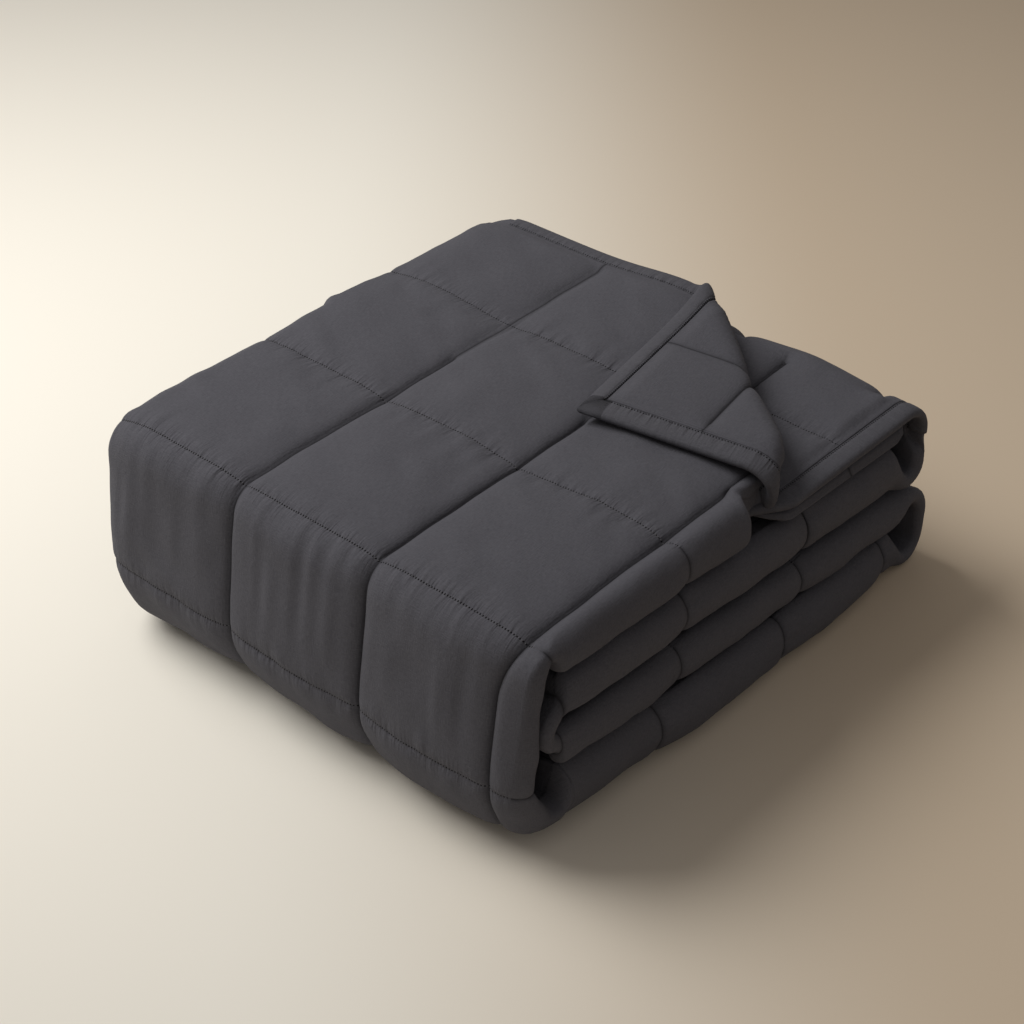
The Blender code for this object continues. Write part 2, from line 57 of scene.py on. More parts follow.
# The flat cloth: its grooves, its sides, and how these lean where the stack is pressed.
GROOVE_X = (0.0, 0.1108, 0.2215)
LEFT_X = -0.118
RIGHT_X = 0.240
RIGHT_FLARE = 0.031
COVER_EDGE_X = 0.2604
CORNER_ROUND = 0.024
INNER_TIP_INSET = 0.019
FRONT_INSET = 0.002
FLOOR_BULGE = 0.0045
BULGE_BLEND = 0.060
FRONT_BLEND = 0.045
GROOVE_DRIFT = 0.0095
SIDE_ROUND = 0.016
SIDE_BOW = 0.9
CURL_REACH = 0.030
CURL_INNER = 0.15
CURL_DEPTHS = (0.014, 0.040)
OUTER = 0.006
BACK_Y = 0.385

# The fold line's corners: a name, y, z, and the radius it turns with.
CORNERS = (
    ("cover_end", 0.357, 0.1480, 0.0),
    ("front_top", -0.010, 0.1530, 0.020),
    ("front_belly", -0.0265, 0.0500, 0.045),
    ("front_bottom", -0.0085, 0.0060, 0.032),
    ("lower_loop_bottom", 0.379, 0.0060, 0.012),
    ("lower_loop_top", 0.379, 0.0610, 0.026),
    ("front_bend_bottom", 0.0035, 0.0834, 0.0065),
    ("front_bend_top", 0.0035, 0.0969, 0.0065),
    ("upper_loop_bottom", 0.365, 0.0765, 0.012),
    ("upper_loop_top", 0.365, 0.1352, 0.022),
    ("inner_dip", 0.215, 0.1335, 0.020),
    ("inner_end", 0.185, 0.1285, 0.0),
)
(COVER, FRONT, FRONT_LOW, FLOOR_PASS, LOWER_LOOP, THIRD_PASS, BEND, SECOND_PASS, UPPER_LOOP,
 INNER, INNER_TIP) = range(11)

# How far the inner face lies under the fold line: the leg, the place on it, and the depth.
DEPTHS = (
    (COVER, 0.357, 0.0060),
    (COVER, 0.188, 0.0060),
    (COVER, 0.174, 0.0328),
    (COVER, 0.120, 0.0314),
    (COVER, 0.016, 0.0270),
    (COVER, 0.002, 0.0110),
    (FRONT, 0.120, 0.0105),
    (FRONT, 0.078, 0.0150),
    (FRONT_LOW, 0.032, 0.0210),
    (FLOOR_PASS, 0.0120, 0.0260),
    (FLOOR_PASS, 0.0210, 0.0480),
    (FLOOR_PASS, 0.038, 0.0462),
    (FLOOR_PASS, 0.120, 0.0400),
    (FLOOR_PASS, 0.346, 0.0302),
    (FLOOR_PASS, 0.364, 0.0060),
    (THIRD_PASS, 0.366, 0.0060),
    (THIRD_PASS, 0.347, 0.0253),
    (THIRD_PASS, 0.120, 0.0295),
    (THIRD_PASS, 0.018, 0.0274),
    (THIRD_PASS, 0.0075, 0.0105),
    (SECOND_PASS, 0.0075, 0.0105),
    (SECOND_PASS, 0.018, 0.0285),
    (SECOND_PASS, 0.150, 0.0290),
    (SECOND_PASS, 0.333, 0.0330),
    (SECOND_PASS, 0.352, 0.0060),
    (INNER, 0.350, 0.0060),
    (INNER, 0.333, 0.0225),
    (INNER, 0.225, 0.0172),
    (INNER_TIP, 0.190, 0.0094),
)
# How far the sides of the outer wrap curl in: the leg, the place on it, and the depth.
CURLS = (
    (COVER, 0.030, 0.000),
    (FRONT, 0.138, 0.006),
    (FRONT_LOW, 0.028, 0.014),
    (FLOOR_PASS, 0.010, 0.017),
    (FLOOR_PASS, 0.100, 0.005),
    (FLOOR_PASS, 0.220, 0.000),
)
# The stitched lines: the leg and the place on it.
SEAMS = (
    (COVER, 0.240),
    (COVER, 0.120),
    (COVER, 0.000),
    (FRONT, 0.056),
    (FLOOR_PASS, 0.100),
    (FLOOR_PASS, 0.220),
    (FLOOR_PASS, 0.335),
    (THIRD_PASS, 0.240),
    (THIRD_PASS, 0.120),
    (THIRD_PASS, 0.012),
    (SECOND_PASS, 0.012),
    (SECOND_PASS, 0.120),
    (SECOND_PASS, 0.240),
    (INNER, 0.283),
)

# The corner that is turned over: its turn line's ends as (x, u), and what is sewn across it.
TURN_FROM = (0.0625, 0.0)
TURN_TO = (0.2604, 0.1684)
TURN_RADIUS = 0.0068
TURN_LINE_FROM_SIDE = 0.093
TURN_LINE_FROM_END = 0.080
TURNED_SEAM_X = COVER_EDGE_X - TURN_LINE_FROM_SIDE
TURN_LIFT = 0.0062
TURN_LIFT_REACH = 0.045
TURN_REACH = math.hypot(TURN_TO[0] - TURN_FROM[0], TURN_TO[1] - TURN_FROM[1])

# How far the stack is pressed down at its left side, as a share of its height.
PRESS_REACH = 0.040
PRESS_SIDE = 0.028
PRESS_CORNER = 0.034
PRESS_BACK_Y = (0.180, 0.310)
PRESS_FRONT_Y = (-0.020, 0.020)

# Where and how the turned corner hangs over the stack's side.
DRAPE_X = 0.2185
DRAPE_STRETCH = 0.0240
DRAPE_TOP = 0.014
DRAPE_FROM_U = 0.170
DRAPE_TO_U = 0.182

# The thin bound lip at an open edge, and where the tapes on it start and end.
LIP_TIP = 0.0022
LIP_ROOT = 0.0140
LIP_SHOULDER = 0.0155
LIP_HALF = 0.0015
LIP_DROOP = 0.0008
LIP_LEVEL = 0.0030
LIP_RISE = 0.0110
LIP_STEP = 0.0003
LIP_SEAT = 0.0004
LIP_UNDER = 0.0056
LIP_ENTRY = (0.0002, 0.0006)
THICK_DEPTH = 0.015
END_ROUND = 0.008
END_LEAST = 0.02
TURNED_DROOP = 0.0022
TAPE_START_X = -0.091
TAPE_TUCK_U = 0.140
TUCK_MORE = 0.012
MITRE_RUN = 0.002
MITRE_GAP = 0.0005
UNDER_TAPE_ENDS = (-0.001, 0.004)

# The side under a bound lip, from the lip down: inset past the root and drop where the cloth is
# thin, inset and share of the depth where it is thick.
UNDER_LIP_ROWS = (
    (0.0008, 0.0001, 0.0052, 0.55),
    (0.0011, 0.0002, 0.0028, 0.78),
    (0.0013, 0.0002, 0.0062, 0.94),
)

# ---------------- sizes of the looks alone
# How deep the sewn lines draw the faces in, and how far that reaches.
GROOVE_DEEP = 0.0040
GROOVE_SOFT = 0.0036
CROWN = 0.0034
CROWN_REACH = 0.045
SEAM_DEEP = 0.0020
SEAM_SOFT = 0.0034
SEAM_CROWN = 0.0012
SEAM_UNEVEN = (0.75, 0.35, 0.03)
CROSSING_SHARE = 0.25
INNER_GROOVE_SHARE = 0.55
INNER_CROWN_LOSS = 0.4
INNER_WRINKLE_LOSS = 0.7
DEEPEST_SHARE = 0.45
LIP_CALM = 0.012
END_CALM = (-0.001, 0.010)
LAST_GROOVE_FROM = 0.166
INNER_GROOVE_X = (-0.0681, 0.0427, 0.1535)
INNER_BLEND = 0.05
GROOVE_WANDER = 0.0009
WANDER_REACH = 0.012
WANDER_LENGTH = 0.021
WANDER_ROW = 7.5

# Lumps, tucks and falls are layers of noise: height, length across, length along, and seed. Lumps
# calm down at grooves and in the turned fold. Tucks fade away from their stitched line, and are not
# the same on its two sides. Falls hang from the front's upper line.
LUMPS = (
    (0.0011, 0.045, 0.050, 1),
    (0.0006, 0.019, 0.024, 2),
)
TUCKS = (
    (0.00135, 0.0072, 0.050, 3),
    (0.00040, 0.0034, 0.040, 6),
)
FRONT_FALLS = (
    (0.0011, 0.0080, 0.070, 4),
    (0.0006, 0.021, 0.090, 8),
)
FALLS_START = (-0.004, 0.014)
FALLS_END = 0.05
SLANTED = (0.0007, 0.040, 0.014, 9)
SLANT = 0.6
CALM_GROOVE = 0.010
CALM_TURN = (0.011, 0.013)
TUCK_REACH_AFTER = 0.0150
TUCK_REACH_BEFORE = 0.0095
OTHER_TUCKS = 40.0
TUCKS_HELD = 0.25
TUCKS_FREE_FROM = 0.008

# Where the looks differ from the plain solid's outline.
THIN_INSET = 0.0045
FLAP_TAIL = 0.012
FLAP_LEAN = 0.006
FLAP_TAIL_ANGLES = (0.9, 1.75)
DROOP_AFTER_TURN = (0.008, 0.045)

# The tapes. Each row of the face: inset from the folded edge, and swell of the surface.
TAPE_GAP = 0.0004
TAPE_THICK = 0.0010
TAPE_WIDTH = 0.0138
TAPE_STITCH = 0.0126
TAPE_OPEN = 0.0009
TAPE_OPEN_RAMP = 0.002
TAPE_OPEN_AFTER_TURN = (0.010, 0.025)
TAPE_FACE = (
    (TAPE_WIDTH, -0.0005),
    (0.0135, 0.0000),
    (0.0131, 0.0000),
    (TAPE_STITCH, -0.0004),
    (0.0120, 0.0001),
    (0.0108, 0.0004),
    (0.0082, 0.0005),
    (0.0054, 0.0005),
    (0.0030, 0.0002),
    (0.0014, -0.0005),
    (0.0005, -0.0015),
)
TAPE_EDGE = 0.0001
TAPE_INSIDE = (TAPE_WIDTH - 0.0004, 0.0095, 0.0050, LIP_TIP - TAPE_GAP)
TAPE_WAVER = 0.00035
TAPE_WAVER_FROM = 0.004
TAPE_WAVER_LENGTH = 0.013
TAPE_TUCKS = 0.075
TAPE_TUCK_LENGTH = 0.0045
TAPE_TUCK_REACH = 0.0035
# A step past every place on the cloth: it stands for the slanted row at the mitre.
MITRE_STEP = 9.0

# The threads, and where their rows start and end. Each ring: place along the thread, share of its
# thickness, and rise off the cloth as a share too.
STITCH_PITCH = 0.0020
STITCH_LENGTH = 0.0013
STITCH_THICK = 0.00026
STITCH_RINGS = (
    (-0.50, 0.35, -0.90),
    (-0.28, 1.00, 0.25),
    (0.28, 1.00, 0.25),
    (0.50, 0.35, -0.90),
)
STITCH_SIDES = 5
STITCH_FLAT = 0.8
STITCH_SINK = 0.0001
SMALL_STEP = 0.0004
STITCHES_FROM_X = LEFT_X + 0.010
STITCHES_TO_X = RIGHT_X - 0.012

# How finely the skin is divided.
SIDE_COUNTS = (3, 2, 4, 2, 4, 3, 5, 4, 3, 3)
SIDE_POINTS = sum(SIDE_COUNTS) - 1
SQUARE_SHARES = (0.8, 1.45, 0.72, 0.72, 0.28)
SQUARE_CLUSTERS = (0.45, 0.6, 0.3, 0.3, 0.0)
INNER_SHARES = (0.14, 0.30, 0.20, 0.18, 0.18)
POCKET = 0.12
OPEN_END_FINER = 1.8
OPEN_END_MARGIN = 0.03
LEAST_ROW_GAP = 0.004
EDGE_ROWS = (LIP_TIP, 0.006, 0.010, LIP_ROOT - 0.0004, LIP_ROOT, 0.0144, 0.0150, 0.0158, 0.0168,
             0.0180)
EDGE_ROWS_TO = 0.0190
SIDE_FROM = 0.010
FAR_FROM_SEAM = 0.05
PIECE_CUT_Y = 0.020
INNER_CUT_Y = 0.240

# ---------------- colours and light
QUILT_LIGHT = (0.092, 0.091, 0.105, 1.0)
QUILT_DARK = (0.059, 0.058, 0.069, 1.0)
TAPE_LIGHT = (0.089, 0.088, 0.101, 1.0)
TAPE_DARK = (0.058, 0.057, 0.067, 1.0)
SHEEN = (0.80, 0.80, 0.88, 1.0)
# Painted shade: the dark colour mixed into the cloth at groove creases and needle holes.
CREASE_SHADE = (0.006, 0.006, 0.007, 1.0)
THREAD_DARK = (0.030, 0.029, 0.033, 1.0)
THREAD_LIGHT = (0.095, 0.092, 0.102, 1.0)
# The pale floor near the lamp, and the warmer, darker colour painted away from it as shade of the lamp's
# falloff; the way that painted shade runs, and where it starts and ends in metres.
FLOOR_NEAR = (0.82, 0.785, 0.71, 1.0)
FLOOR_SHADED = (0.58, 0.475, 0.36, 1.0)
FLOOR_WAY = math.radians(40.9)
FLOOR_SHADE_FADE = (-0.18, 0.28)
FLOOR_REACH = 60
KEY_PLACE = (-1.335, -0.471, 1.62)
KEY_AIM = (-0.44, -0.13, 0.0)
KEY_SIZE = 0.85
KEY_ENERGY = 218.0
KEY_CONE = math.radians(76.0)
KEY_COLOUR = (1.0, 0.988, 0.96)
ROOM_COLOUR = (0.97, 0.92, 0.87, 1.0)
ROOM_STRENGTH = 0.29

# The camera, worked out from the photograph: its way back from the aim, and its focal length.
AZIMUTH = math.radians(40.865)
ELEVATION = math.radians(37.142)
DISTANCE = 1.168
AIM = (0.138, 0.083, 0.152)
SENSOR = 36.0
FOCAL_PIXELS = 2000.0
PHOTO_PIXELS = 1024.0

# The cloth's layers: how fine each is per metre, its share of the tone, and how far it lifts.
YARN_FINE = 1300.0
YARN_LONG = 260.0
CLOUD = 28.0
GRAIN = 2200.0
GATHER_ACROSS = 210.0
GATHER_ALONG = 24.0
GATHER_FADE = 190.0
GATHER_LIFT = 0.0042
# How fast the painted shade at a groove's crease fades away from the groove, per metre.
CREASE_SHADE_FADE = 1100.0
YARN_LIFT = 0.00034
MARK_DROP = 0.0008
CLOUD_LIFT = 0.0006
NEEDLE_LINE = 0.00048
NEEDLE_SHARE = 0.20
YARN_TONE = 0.46
CLOUD_TONE = 0.16
GRAIN_TONE = 0.20
TONE_FROM = 0.36
TONE_TO = 0.80
# How dark the painted crease shade gets at the middle of a groove.
CREASE_SHADE_SHARE = 0.75


# ---------------- small helpers
def smooth(low, high, value):
    """0 up to low, 1 from high on, and a soft slope between them."""
    t = np.clip((value - low) / (high - low), 0.0, 1.0)
    return t * t * (3.0 - 2.0 * t)


def mix(a, b, t):
    """a where t is 0, b where it is 1."""
    return a + (b - a) * t


LATTICE = 64


def noise(x, y, seed):
    """Soft noise between -1 and 1, with cells one unit wide, the same on each run."""
    grid = np.random.RandomState(seed).uniform(-1.0, 1.0, (LATTICE, LATTICE))
    i, j = np.floor(x).astype(int), np.floor(y).astype(int)
    s, t = x - i, y - j
    s, t = s * s * (3 - 2 * s), t * t * (3 - 2 * t)
    a, b = grid[i % LATTICE, j % LATTICE], grid[(i + 1) % LATTICE, j % LATTICE]
    c, d = grid[i % LATTICE, (j + 1) % LATTICE], grid[(i + 1) % LATTICE, (j + 1) % LATTICE]
    return mix(mix(a, b, s), mix(c, d, s), t)


def layered(rows, x, u, shift=0.0):
    """Layers of noise, each from a row of height, length across, length along and seed."""
    return sum(height * noise(x / across + shift, u / along, seed)
               for height, across, along, seed in rows)


def clustered(low, high, count, share=0.6):
    """Places from low to high that lie closer together near both ends."""
    t = np.linspace(0.0, 1.0, count + 1)
    return mix(low, high, mix(t, (1.0 - np.cos(np.pi * t)) / 2, share))


# ---------------- the fold line
class FoldLine:
    """Straight legs joined by round corners, in the Y-Z plane."""

    def __init__(self, corners):
        points = [np.array((y, z)) for _, y, z, _ in corners]
        radii = [r for *_, r in corners]
        heads = [(b - a) / np.linalg.norm(b - a) for a, b in zip(points, points[1:])]
        turns = [math.atan2(a[0] * b[1] - a[1] * b[0], a @ b) for a, b in zip(heads, heads[1:])]
        cuts = [0.0] + [r * math.tan(abs(t) / 2) for r, t in zip(radii[1:], turns)] + [0.0]
        self.pieces, self.starts, self.legs, self.length = [], [], [], 0.0
        for i, head in enumerate(heads):
            start = points[i] + head * cuts[i]
            run = np.linalg.norm(points[i + 1] - points[i]) - cuts[i] - cuts[i + 1]
            self.legs.append((self.length, start, head))
            self.add(run, (start, head, 0.0))
            if i < len(turns):
                self.add(radii[i + 1] * abs(turns[i]),
                         (start + head * run, head, math.copysign(1.0 / radii[i + 1], turns[i])))

    def add(self, length, piece):
        """Adds a straight or a bent piece: where it starts, its way, and its bend per metre."""
        self.starts.append(self.length)
        self.pieces.append(piece)
        self.length += length

    def at(self, u):
        """Points at the distances u, and the directions to the face that shows."""
        index = np.clip(np.searchsorted(self.starts, u, "right") - 1, 0, len(self.pieces) - 1)
        point, out = np.zeros(u.shape + (2,)), np.zeros(u.shape + (2,))
        for k, (start, head, bend) in enumerate(self.pieces):
            chosen = index == k
            run = u[chosen] - self.starts[k]
            side = np.array((-head[1], head[0]))
            if bend:
                angle = (run * bend)[:, None]
                point[chosen] = start + (np.sin(angle) * head + (1 - np.cos(angle)) * side) / bend
                way = np.cos(angle) * head + np.sin(angle) * side
            else:
                point[chosen] = start + run[:, None] * head
                way = np.repeat(head[None], len(run), axis=0)
            out[chosen] = np.stack((way[:, 1], -way[:, 0]), axis=1)
        return point, out

    def place(self, leg, value):
        """The distance along the line where a leg reaches y, or z if it is upright."""
        start_u, start, head = self.legs[leg]
        axis = 0 if abs(head[0]) > abs(head[1]) else 1
        return start_u + (value - start[axis]) / head[axis]


FOLD = FoldLine(CORNERS)
SEAM_US = sorted(FOLD.place(leg, value) for leg, value in SEAMS)
DEPTH_ROWS = sorted((FOLD.place(leg, value), depth) for leg, value, depth in DEPTHS)
CURL_ROWS = sorted((FOLD.place(leg, value), depth) for leg, value, depth in CURLS)
THICK_FROM_U = FOLD.place(COVER, 0.193)
THICK_TO_U = FOLD.place(COVER, 0.182)
UNDER_LIP_FROM_U = FOLD.place(UPPER_LOOP, 0.095)
UNDER_LIP_TO_U = FOLD.place(UPPER_LOOP, 0.107)
INNER_LEG_U = FOLD.place(INNER, 0.345)
UNDER_END_FROM_U = FOLD.place(INNER_TIP, 0.1885)
UNDER_END_TO_U = FOLD.place(INNER_TIP, 0.1865)
INNER_TUCK_FROM_U = FOLD.place(INNER, 0.221)
INNER_TUCK_TO_U = FOLD.place(INNER_TIP, 0.190)
FRONT_FROM_U = FOLD.place(COVER, 0.005)
FRONT_TO_U = FOLD.place(FLOOR_PASS, 0.012)
BULGE_FROM_U = FOLD.place(FLOOR_PASS, 0.070)
BULGE_TO_U = FOLD.place(FLOOR_PASS, 0.350)
PIECE_CUT_U = FOLD.place(FLOOR_PASS, PIECE_CUT_Y)
INNER_CUT_U = FOLD.place(SECOND_PASS, INNER_CUT_Y)
FRONT_SEAM_US = SEAM_US[2:4]
HIDDEN_SEAMS = range(7, len(SEAM_US) - 1)
CLOSE_ROWS = 0.040


def from_rows(rows, u):
    """A value for each u between rows of (place, value), eased where rows lie close together."""
    places = np.array([row for row, _ in rows])
    values = np.array([value for _, value in rows])
    index = np.clip(np.searchsorted(places, u, "right"), 1, len(rows) - 1)
    low, high = places[index - 1], places[index]
    t = np.clip((u - low) / (high - low), 0.0, 1.0)
    t = np.where(high - low < CLOSE_ROWS, smooth(0.0, 1.0, t), t)
    return mix(values[index - 1], values[index], t)


# ---------------- the flat cloth's outline
def left_x(u):
    """The folded side, rounded at the cloth's end and a little in where the cover is thin."""
    drop = np.clip(CORNER_ROUND - u, 0.0, None)
    round_end = CORNER_ROUND - np.sqrt(np.clip(CORNER_ROUND**2 - drop**2, 0.0, None))
    return LEFT_X + THIN_INSET * cover_lip(u) + round_end


def front_share(u):
    """1 on the front of the outer wrap, 0 on the top and under the stack."""
    onto = smooth(FRONT_FROM_U, FRONT_FROM_U + FRONT_BLEND, u)
    return onto * (1.0 - smooth(FRONT_TO_U, FRONT_TO_U + FRONT_BLEND, u))


def floor_share(u):
    """1 on the floor pass, whose side is pushed out by the weight on it."""
    onto = smooth(BULGE_FROM_U, BULGE_FROM_U + BULGE_BLEND, u)
    return onto * (1.0 - smooth(BULGE_TO_U - BULGE_BLEND, BULGE_TO_U, u))


def under_end(u):
    """1 past the end of the binding on the inner end's side."""
    return smooth(UNDER_END_FROM_U, UNDER_END_TO_U, u)


def cover_lip(u):
    """1 on the thin end of the cover, whose right side is bound."""
    return 1.0 - smooth(THICK_FROM_U, THICK_TO_U, u)


def under_lip(u):
    """1 on the inner end, whose right side is bound."""
    return smooth(UNDER_LIP_FROM_U, UNDER_LIP_TO_U, u) * (1.0 - under_end(u))


def bound(u):
    """1 wherever the right side is bound."""
    return np.maximum(cover_lip(u), under_lip(u))


def right_x(u):
    """The right side: it flares to the back, and leans in or out with each pass."""
    y = FOLD.at(u)[0][..., 0]
    side = RIGHT_X + RIGHT_FLARE * np.clip(y, 0.0, None)
    side = side - INNER_TIP_INSET * smooth(INNER_TUCK_FROM_U, INNER_TUCK_TO_U, u)
    side = side + FLOOR_BULGE * floor_share(u) - FRONT_INSET * front_share(u)
    return mix(side, COVER_EDGE_X, cover_lip(u))


def under_droop(u):
    """How far the bound lip of the inner end hangs."""
    return LIP_DROOP * smooth(UNDER_LIP_TO_U, INNER_LEG_U, u)


def lip_middle(inset, droop):
    """The height of a hanging lip's middle, some way in from its edge."""
    return -droop * (LIP_ROOT - inset) / (LIP_ROOT - LIP_TIP)


def faces_at(u):
    """Heights of the outer and the inner face, rounded off at the cloth's two ends."""
    lip = np.clip((u - LIP_ROOT + LIP_ENTRY[0]) / LIP_ENTRY[1], 0.0, 1.0)
    rise = smooth(LIP_ROOT, LIP_ROOT + LIP_RISE, u)
    end = np.clip(FOLD.length - u, 0.0, None)
    soft = np.sqrt(np.clip(1.0 - (1.0 - np.clip(end / END_ROUND, 0.0, 1.0)) ** 2, END_LEAST, 1.0))
    top = mix(LIP_HALF, mix(LIP_LEVEL, OUTER, rise), lip) * soft
    bottom = -mix(LIP_HALF, mix(LIP_LEVEL, from_rows(DEPTH_ROWS, u), rise), lip) * soft
    return top, bottom


def edge_droop(x, u):
    """How far the bound edges of the turned corner hang towards the top."""
    inset = np.minimum(u, COVER_EDGE_X - x)
    share = np.clip((LIP_ROOT - inset) / (LIP_ROOT - LIP_TIP), 0.0, 1.0)
    return TURNED_DROOP * share * smooth(*DROOP_AFTER_TURN, past_turn(x, u)) * (u < DRAPE_TO_U)


def past_turn(x, u):
    """The distance past the turn line, which is under 0 on the cloth that stays flat."""
    over = (x - TURN_FROM[0]) * (TURN_TO[1] - TURN_FROM[1])
    return (over - (u - TURN_FROM[1]) * (TURN_TO[0] - TURN_FROM[0])) / TURN_REACH


# ---------------- sewn lines and wrinkles
def nearest(value, lines):
    """The signed distance to the nearest of some lines."""
    away = value[..., None] - np.array(lines)
    pick = np.argmin(np.abs(away), axis=-1)
    return np.take_along_axis(away, pick[..., None], axis=-1)[..., 0]


def sewn_lines(x, u):
    """Signed distances to the nearest groove and to the nearest stitched line."""
    drift = GROOVE_DRIFT * front_share(u)
    groove = np.where(x > LAST_GROOVE_FROM, x - GROOVE_X[2] + drift, nearest(x, GROOVE_X[:2]))
    groove = np.where(u > INNER_LEG_U, nearest(x, INNER_GROOVE_X), groove)
    seam = nearest(u, SEAM_US)
    turned = (past_turn(x, u) > 0.0) & (u < DRAPE_TO_U)
    groove = np.where(turned, u - TURN_LINE_FROM_END, groove)
    seam = np.where(turned, x - TURNED_SEAM_X, seam)
    return groove, seam


def relief(x, u, inner):
    """How far the sewn lines pull a face in."""
    groove, seam = sewn_lines(x, u)
    deep = mix(GROOVE_DEEP, INNER_GROOVE_SHARE * GROOVE_DEEP, inner)
    cut = deep * np.exp(-np.abs(groove) / GROOVE_SOFT)
    least, more, length = SEAM_UNEVEN
    uneven = least + more * noise(x / length, u / length, 5)
    sewn = SEAM_DEEP * uneven * np.exp(-np.abs(seam) / SEAM_SOFT)
    slope = CROWN * np.clip(1.0 - np.abs(groove) / CROWN_REACH, 0.0, 1.0) ** 2
    slope = slope * (1.0 - INNER_CROWN_LOSS * inner)
    slope = slope + SEAM_CROWN * np.clip(1.0 - np.abs(seam) / CROWN_REACH, 0.0, 1.0) ** 2
    return np.maximum(cut, sewn) + CROSSING_SHARE * np.minimum(cut, sewn) + slope


def wrinkles(x, u, face):
    """Soft lumps of the filling, and the small tucks that sewing gathers."""
    groove, seam = sewn_lines(x, u)
    lumps = layered(LUMPS, x, u) + layered([SLANTED], x + SLANT * u, u - SLANT * x)
    calm = 1.0 - np.exp(-np.abs(groove) / CALM_GROOVE)
    after = seam > 0.0
    near = np.exp(-np.abs(seam) / np.where(after, TUCK_REACH_AFTER, TUCK_REACH_BEFORE))
    tucks = near * layered(TUCKS, x, u, np.where(after, OTHER_TUCKS, 0.0))
    tucks = tucks * mix(TUCKS_HELD, 1.0, smooth(0.0, TUCKS_FREE_FROM, np.abs(seam)))
    top_seam, low_seam = FRONT_SEAM_US
    front = smooth(top_seam + FALLS_START[0], top_seam + FALLS_START[1], u)
    front = front * (1.0 - smooth(low_seam - FALLS_END, low_seam, u))
    falls = front * layered(FRONT_FALLS, x, u)
    rolled = np.exp(-((past_turn(x, u) - CALM_TURN[0]) / CALM_TURN[1]) ** 2) * (u < DRAPE_TO_U)
    return (lumps + tucks + falls) * calm * face * (1.0 - rolled)


# ---------------- sections across the cloth
def thick(bottom):
    """0 where the cloth is thin, 1 where the whole stack of its layers hangs under the face."""
    return smooth(OUTER, THICK_DEPTH, -bottom)


def lip_profile(top, bottom, droop):
    """The side with a bound lip, as insets and heights from the upper to the lower shoulder."""
    tip = lip_middle(LIP_TIP, droop)
    full = thick(bottom)
    zero = np.zeros_like(top)
    level = np.minimum(LIP_LEVEL, np.minimum(top, -bottom))
    knots = [
        (LIP_SHOULDER + zero, np.minimum(top, LIP_LEVEL + LIP_STEP)),
        (LIP_ROOT + LIP_SEAT + zero, LIP_LEVEL + zero),
        (LIP_ROOT + zero, LIP_HALF + zero),
        (LIP_TIP + zero, tip + LIP_HALF),
        (LIP_TIP + zero, tip - LIP_HALF),
        (LIP_ROOT + zero, -LIP_HALF + zero),
        (mix(LIP_ROOT + LIP_SEAT, LIP_ROOT, full), mix(-level, -LIP_UNDER, full)),
    ]
    for past, drop, inset, share in UNDER_LIP_ROWS:
        knots.append((mix(LIP_ROOT + past, inset, full), mix(-level - drop, share * bottom, full)))
    knots.append((LIP_SHOULDER + zero, mix(-level - LIP_STEP, bottom, full)))
    insets, heights = [], []
    for (a, b), (c, d), count in zip(knots, knots[1:], SIDE_COUNTS):
        for k in range(count):
            insets.append(mix(a, c, k / count))
            heights.append(mix(b, d, k / count))
    return np.stack(insets[1:], axis=1), np.stack(heights[1:], axis=1)


def round_profile(top, bottom, count):
    """A plain folded side, as insets and heights, from top to bottom."""
    half = ((top - bottom) / 2)[:, None]
    middle = ((top + bottom) / 2)[:, None]
    reach = np.minimum(half, SIDE_ROUND)
    angle = (np.pi / 2 - np.pi * np.arange(1, count + 1) / (count + 1))[None]
    bow_out = np.sign(np.cos(angle)) * np.abs(np.cos(angle)) ** SIDE_BOW
    return reach * (1.0 - bow_out), middle + half * np.sin(angle)


def columns_between(knots, stretches):
    """Columns from knot to knot: each stretch holds the shares of the way where they stand."""
    out = [a[:, None] + (b - a)[:, None] * t[None] for a, b, t in zip(knots, knots[1:], stretches)]
    return np.concatenate(out + [knots[-1][:, None]], axis=1)


def face_columns(us, low, high, per_square):
    """The outer face's columns, with one in each groove, and where the grooves are."""
    first, second, third = (np.full_like(us, x) for x in GROOVE_X)
    inner_leg = smooth(INNER_LEG_U - INNER_BLEND, INNER_LEG_U, us)
    turned = mix(np.full_like(us, TURNED_SEAM_X), INNER_GROOVE_X[2], inner_leg)
    third = third - GROOVE_DRIFT * front_share(us)
    counts = [max(int(per_square * share), 3) for share in SQUARE_SHARES]
    stretches = [clustered(0.0, 1.0, count, share)[:-1] for count, share in zip(counts, SQUARE_CLUSTERS)]
    knots = [low + LIP_SHOULDER, first, second, turned, third, high - LIP_SHOULDER]
    return columns_between(knots, stretches), (first, second, third)


def inner_columns(us, low, high, inner_count):
    """The inner face's columns, from the right to the left."""
    knots = [high - LIP_SHOULDER, high - LIP_ROOT - LIP_RISE]
    knots += [np.full_like(us, x) for x in (TURNED_SEAM_X, GROOVE_X[1], TURN_FROM[0])]
    knots.append(low + LIP_SHOULDER)
    counts = [max(int(share * inner_count), 1) for share in INNER_SHARES]
    return columns_between(knots, [np.linspace(0.0, 1.0, count + 1)[:-1] for count in counts])


def wander(face, grooves, us, share):
    """The face's columns with the grooves swaying a little, but for the last by a bound edge."""
    shown = face
    for line, groove in enumerate(grooves):
        away = (face - groove[:, None]) / WANDER_REACH
        sway = GROOVE_WANDER * noise(us / WANDER_LENGTH, np.full_like(us, WANDER_ROW + line), 11)
        free = 1.0 - share if line == 2 else 1.0
        shown = shown + sway[:, None] * np.exp(-away**2) * free
    return shown


def way_round(insets, heights, top):
    """Distances along a side's profile from its upper shoulder."""
    steps = np.diff(insets, axis=1, prepend=LIP_SHOULDER), np.diff(heights, axis=1, prepend=top)
    return np.cumsum(np.hypot(*steps), axis=1)


def near_side(x, high):
    """1 at the shoulder of a bound side, 0 past the rise to the cloth's full thickness."""
    return 1.0 - smooth(LIP_SHOULDER, LIP_ROOT + LIP_RISE, high - x)


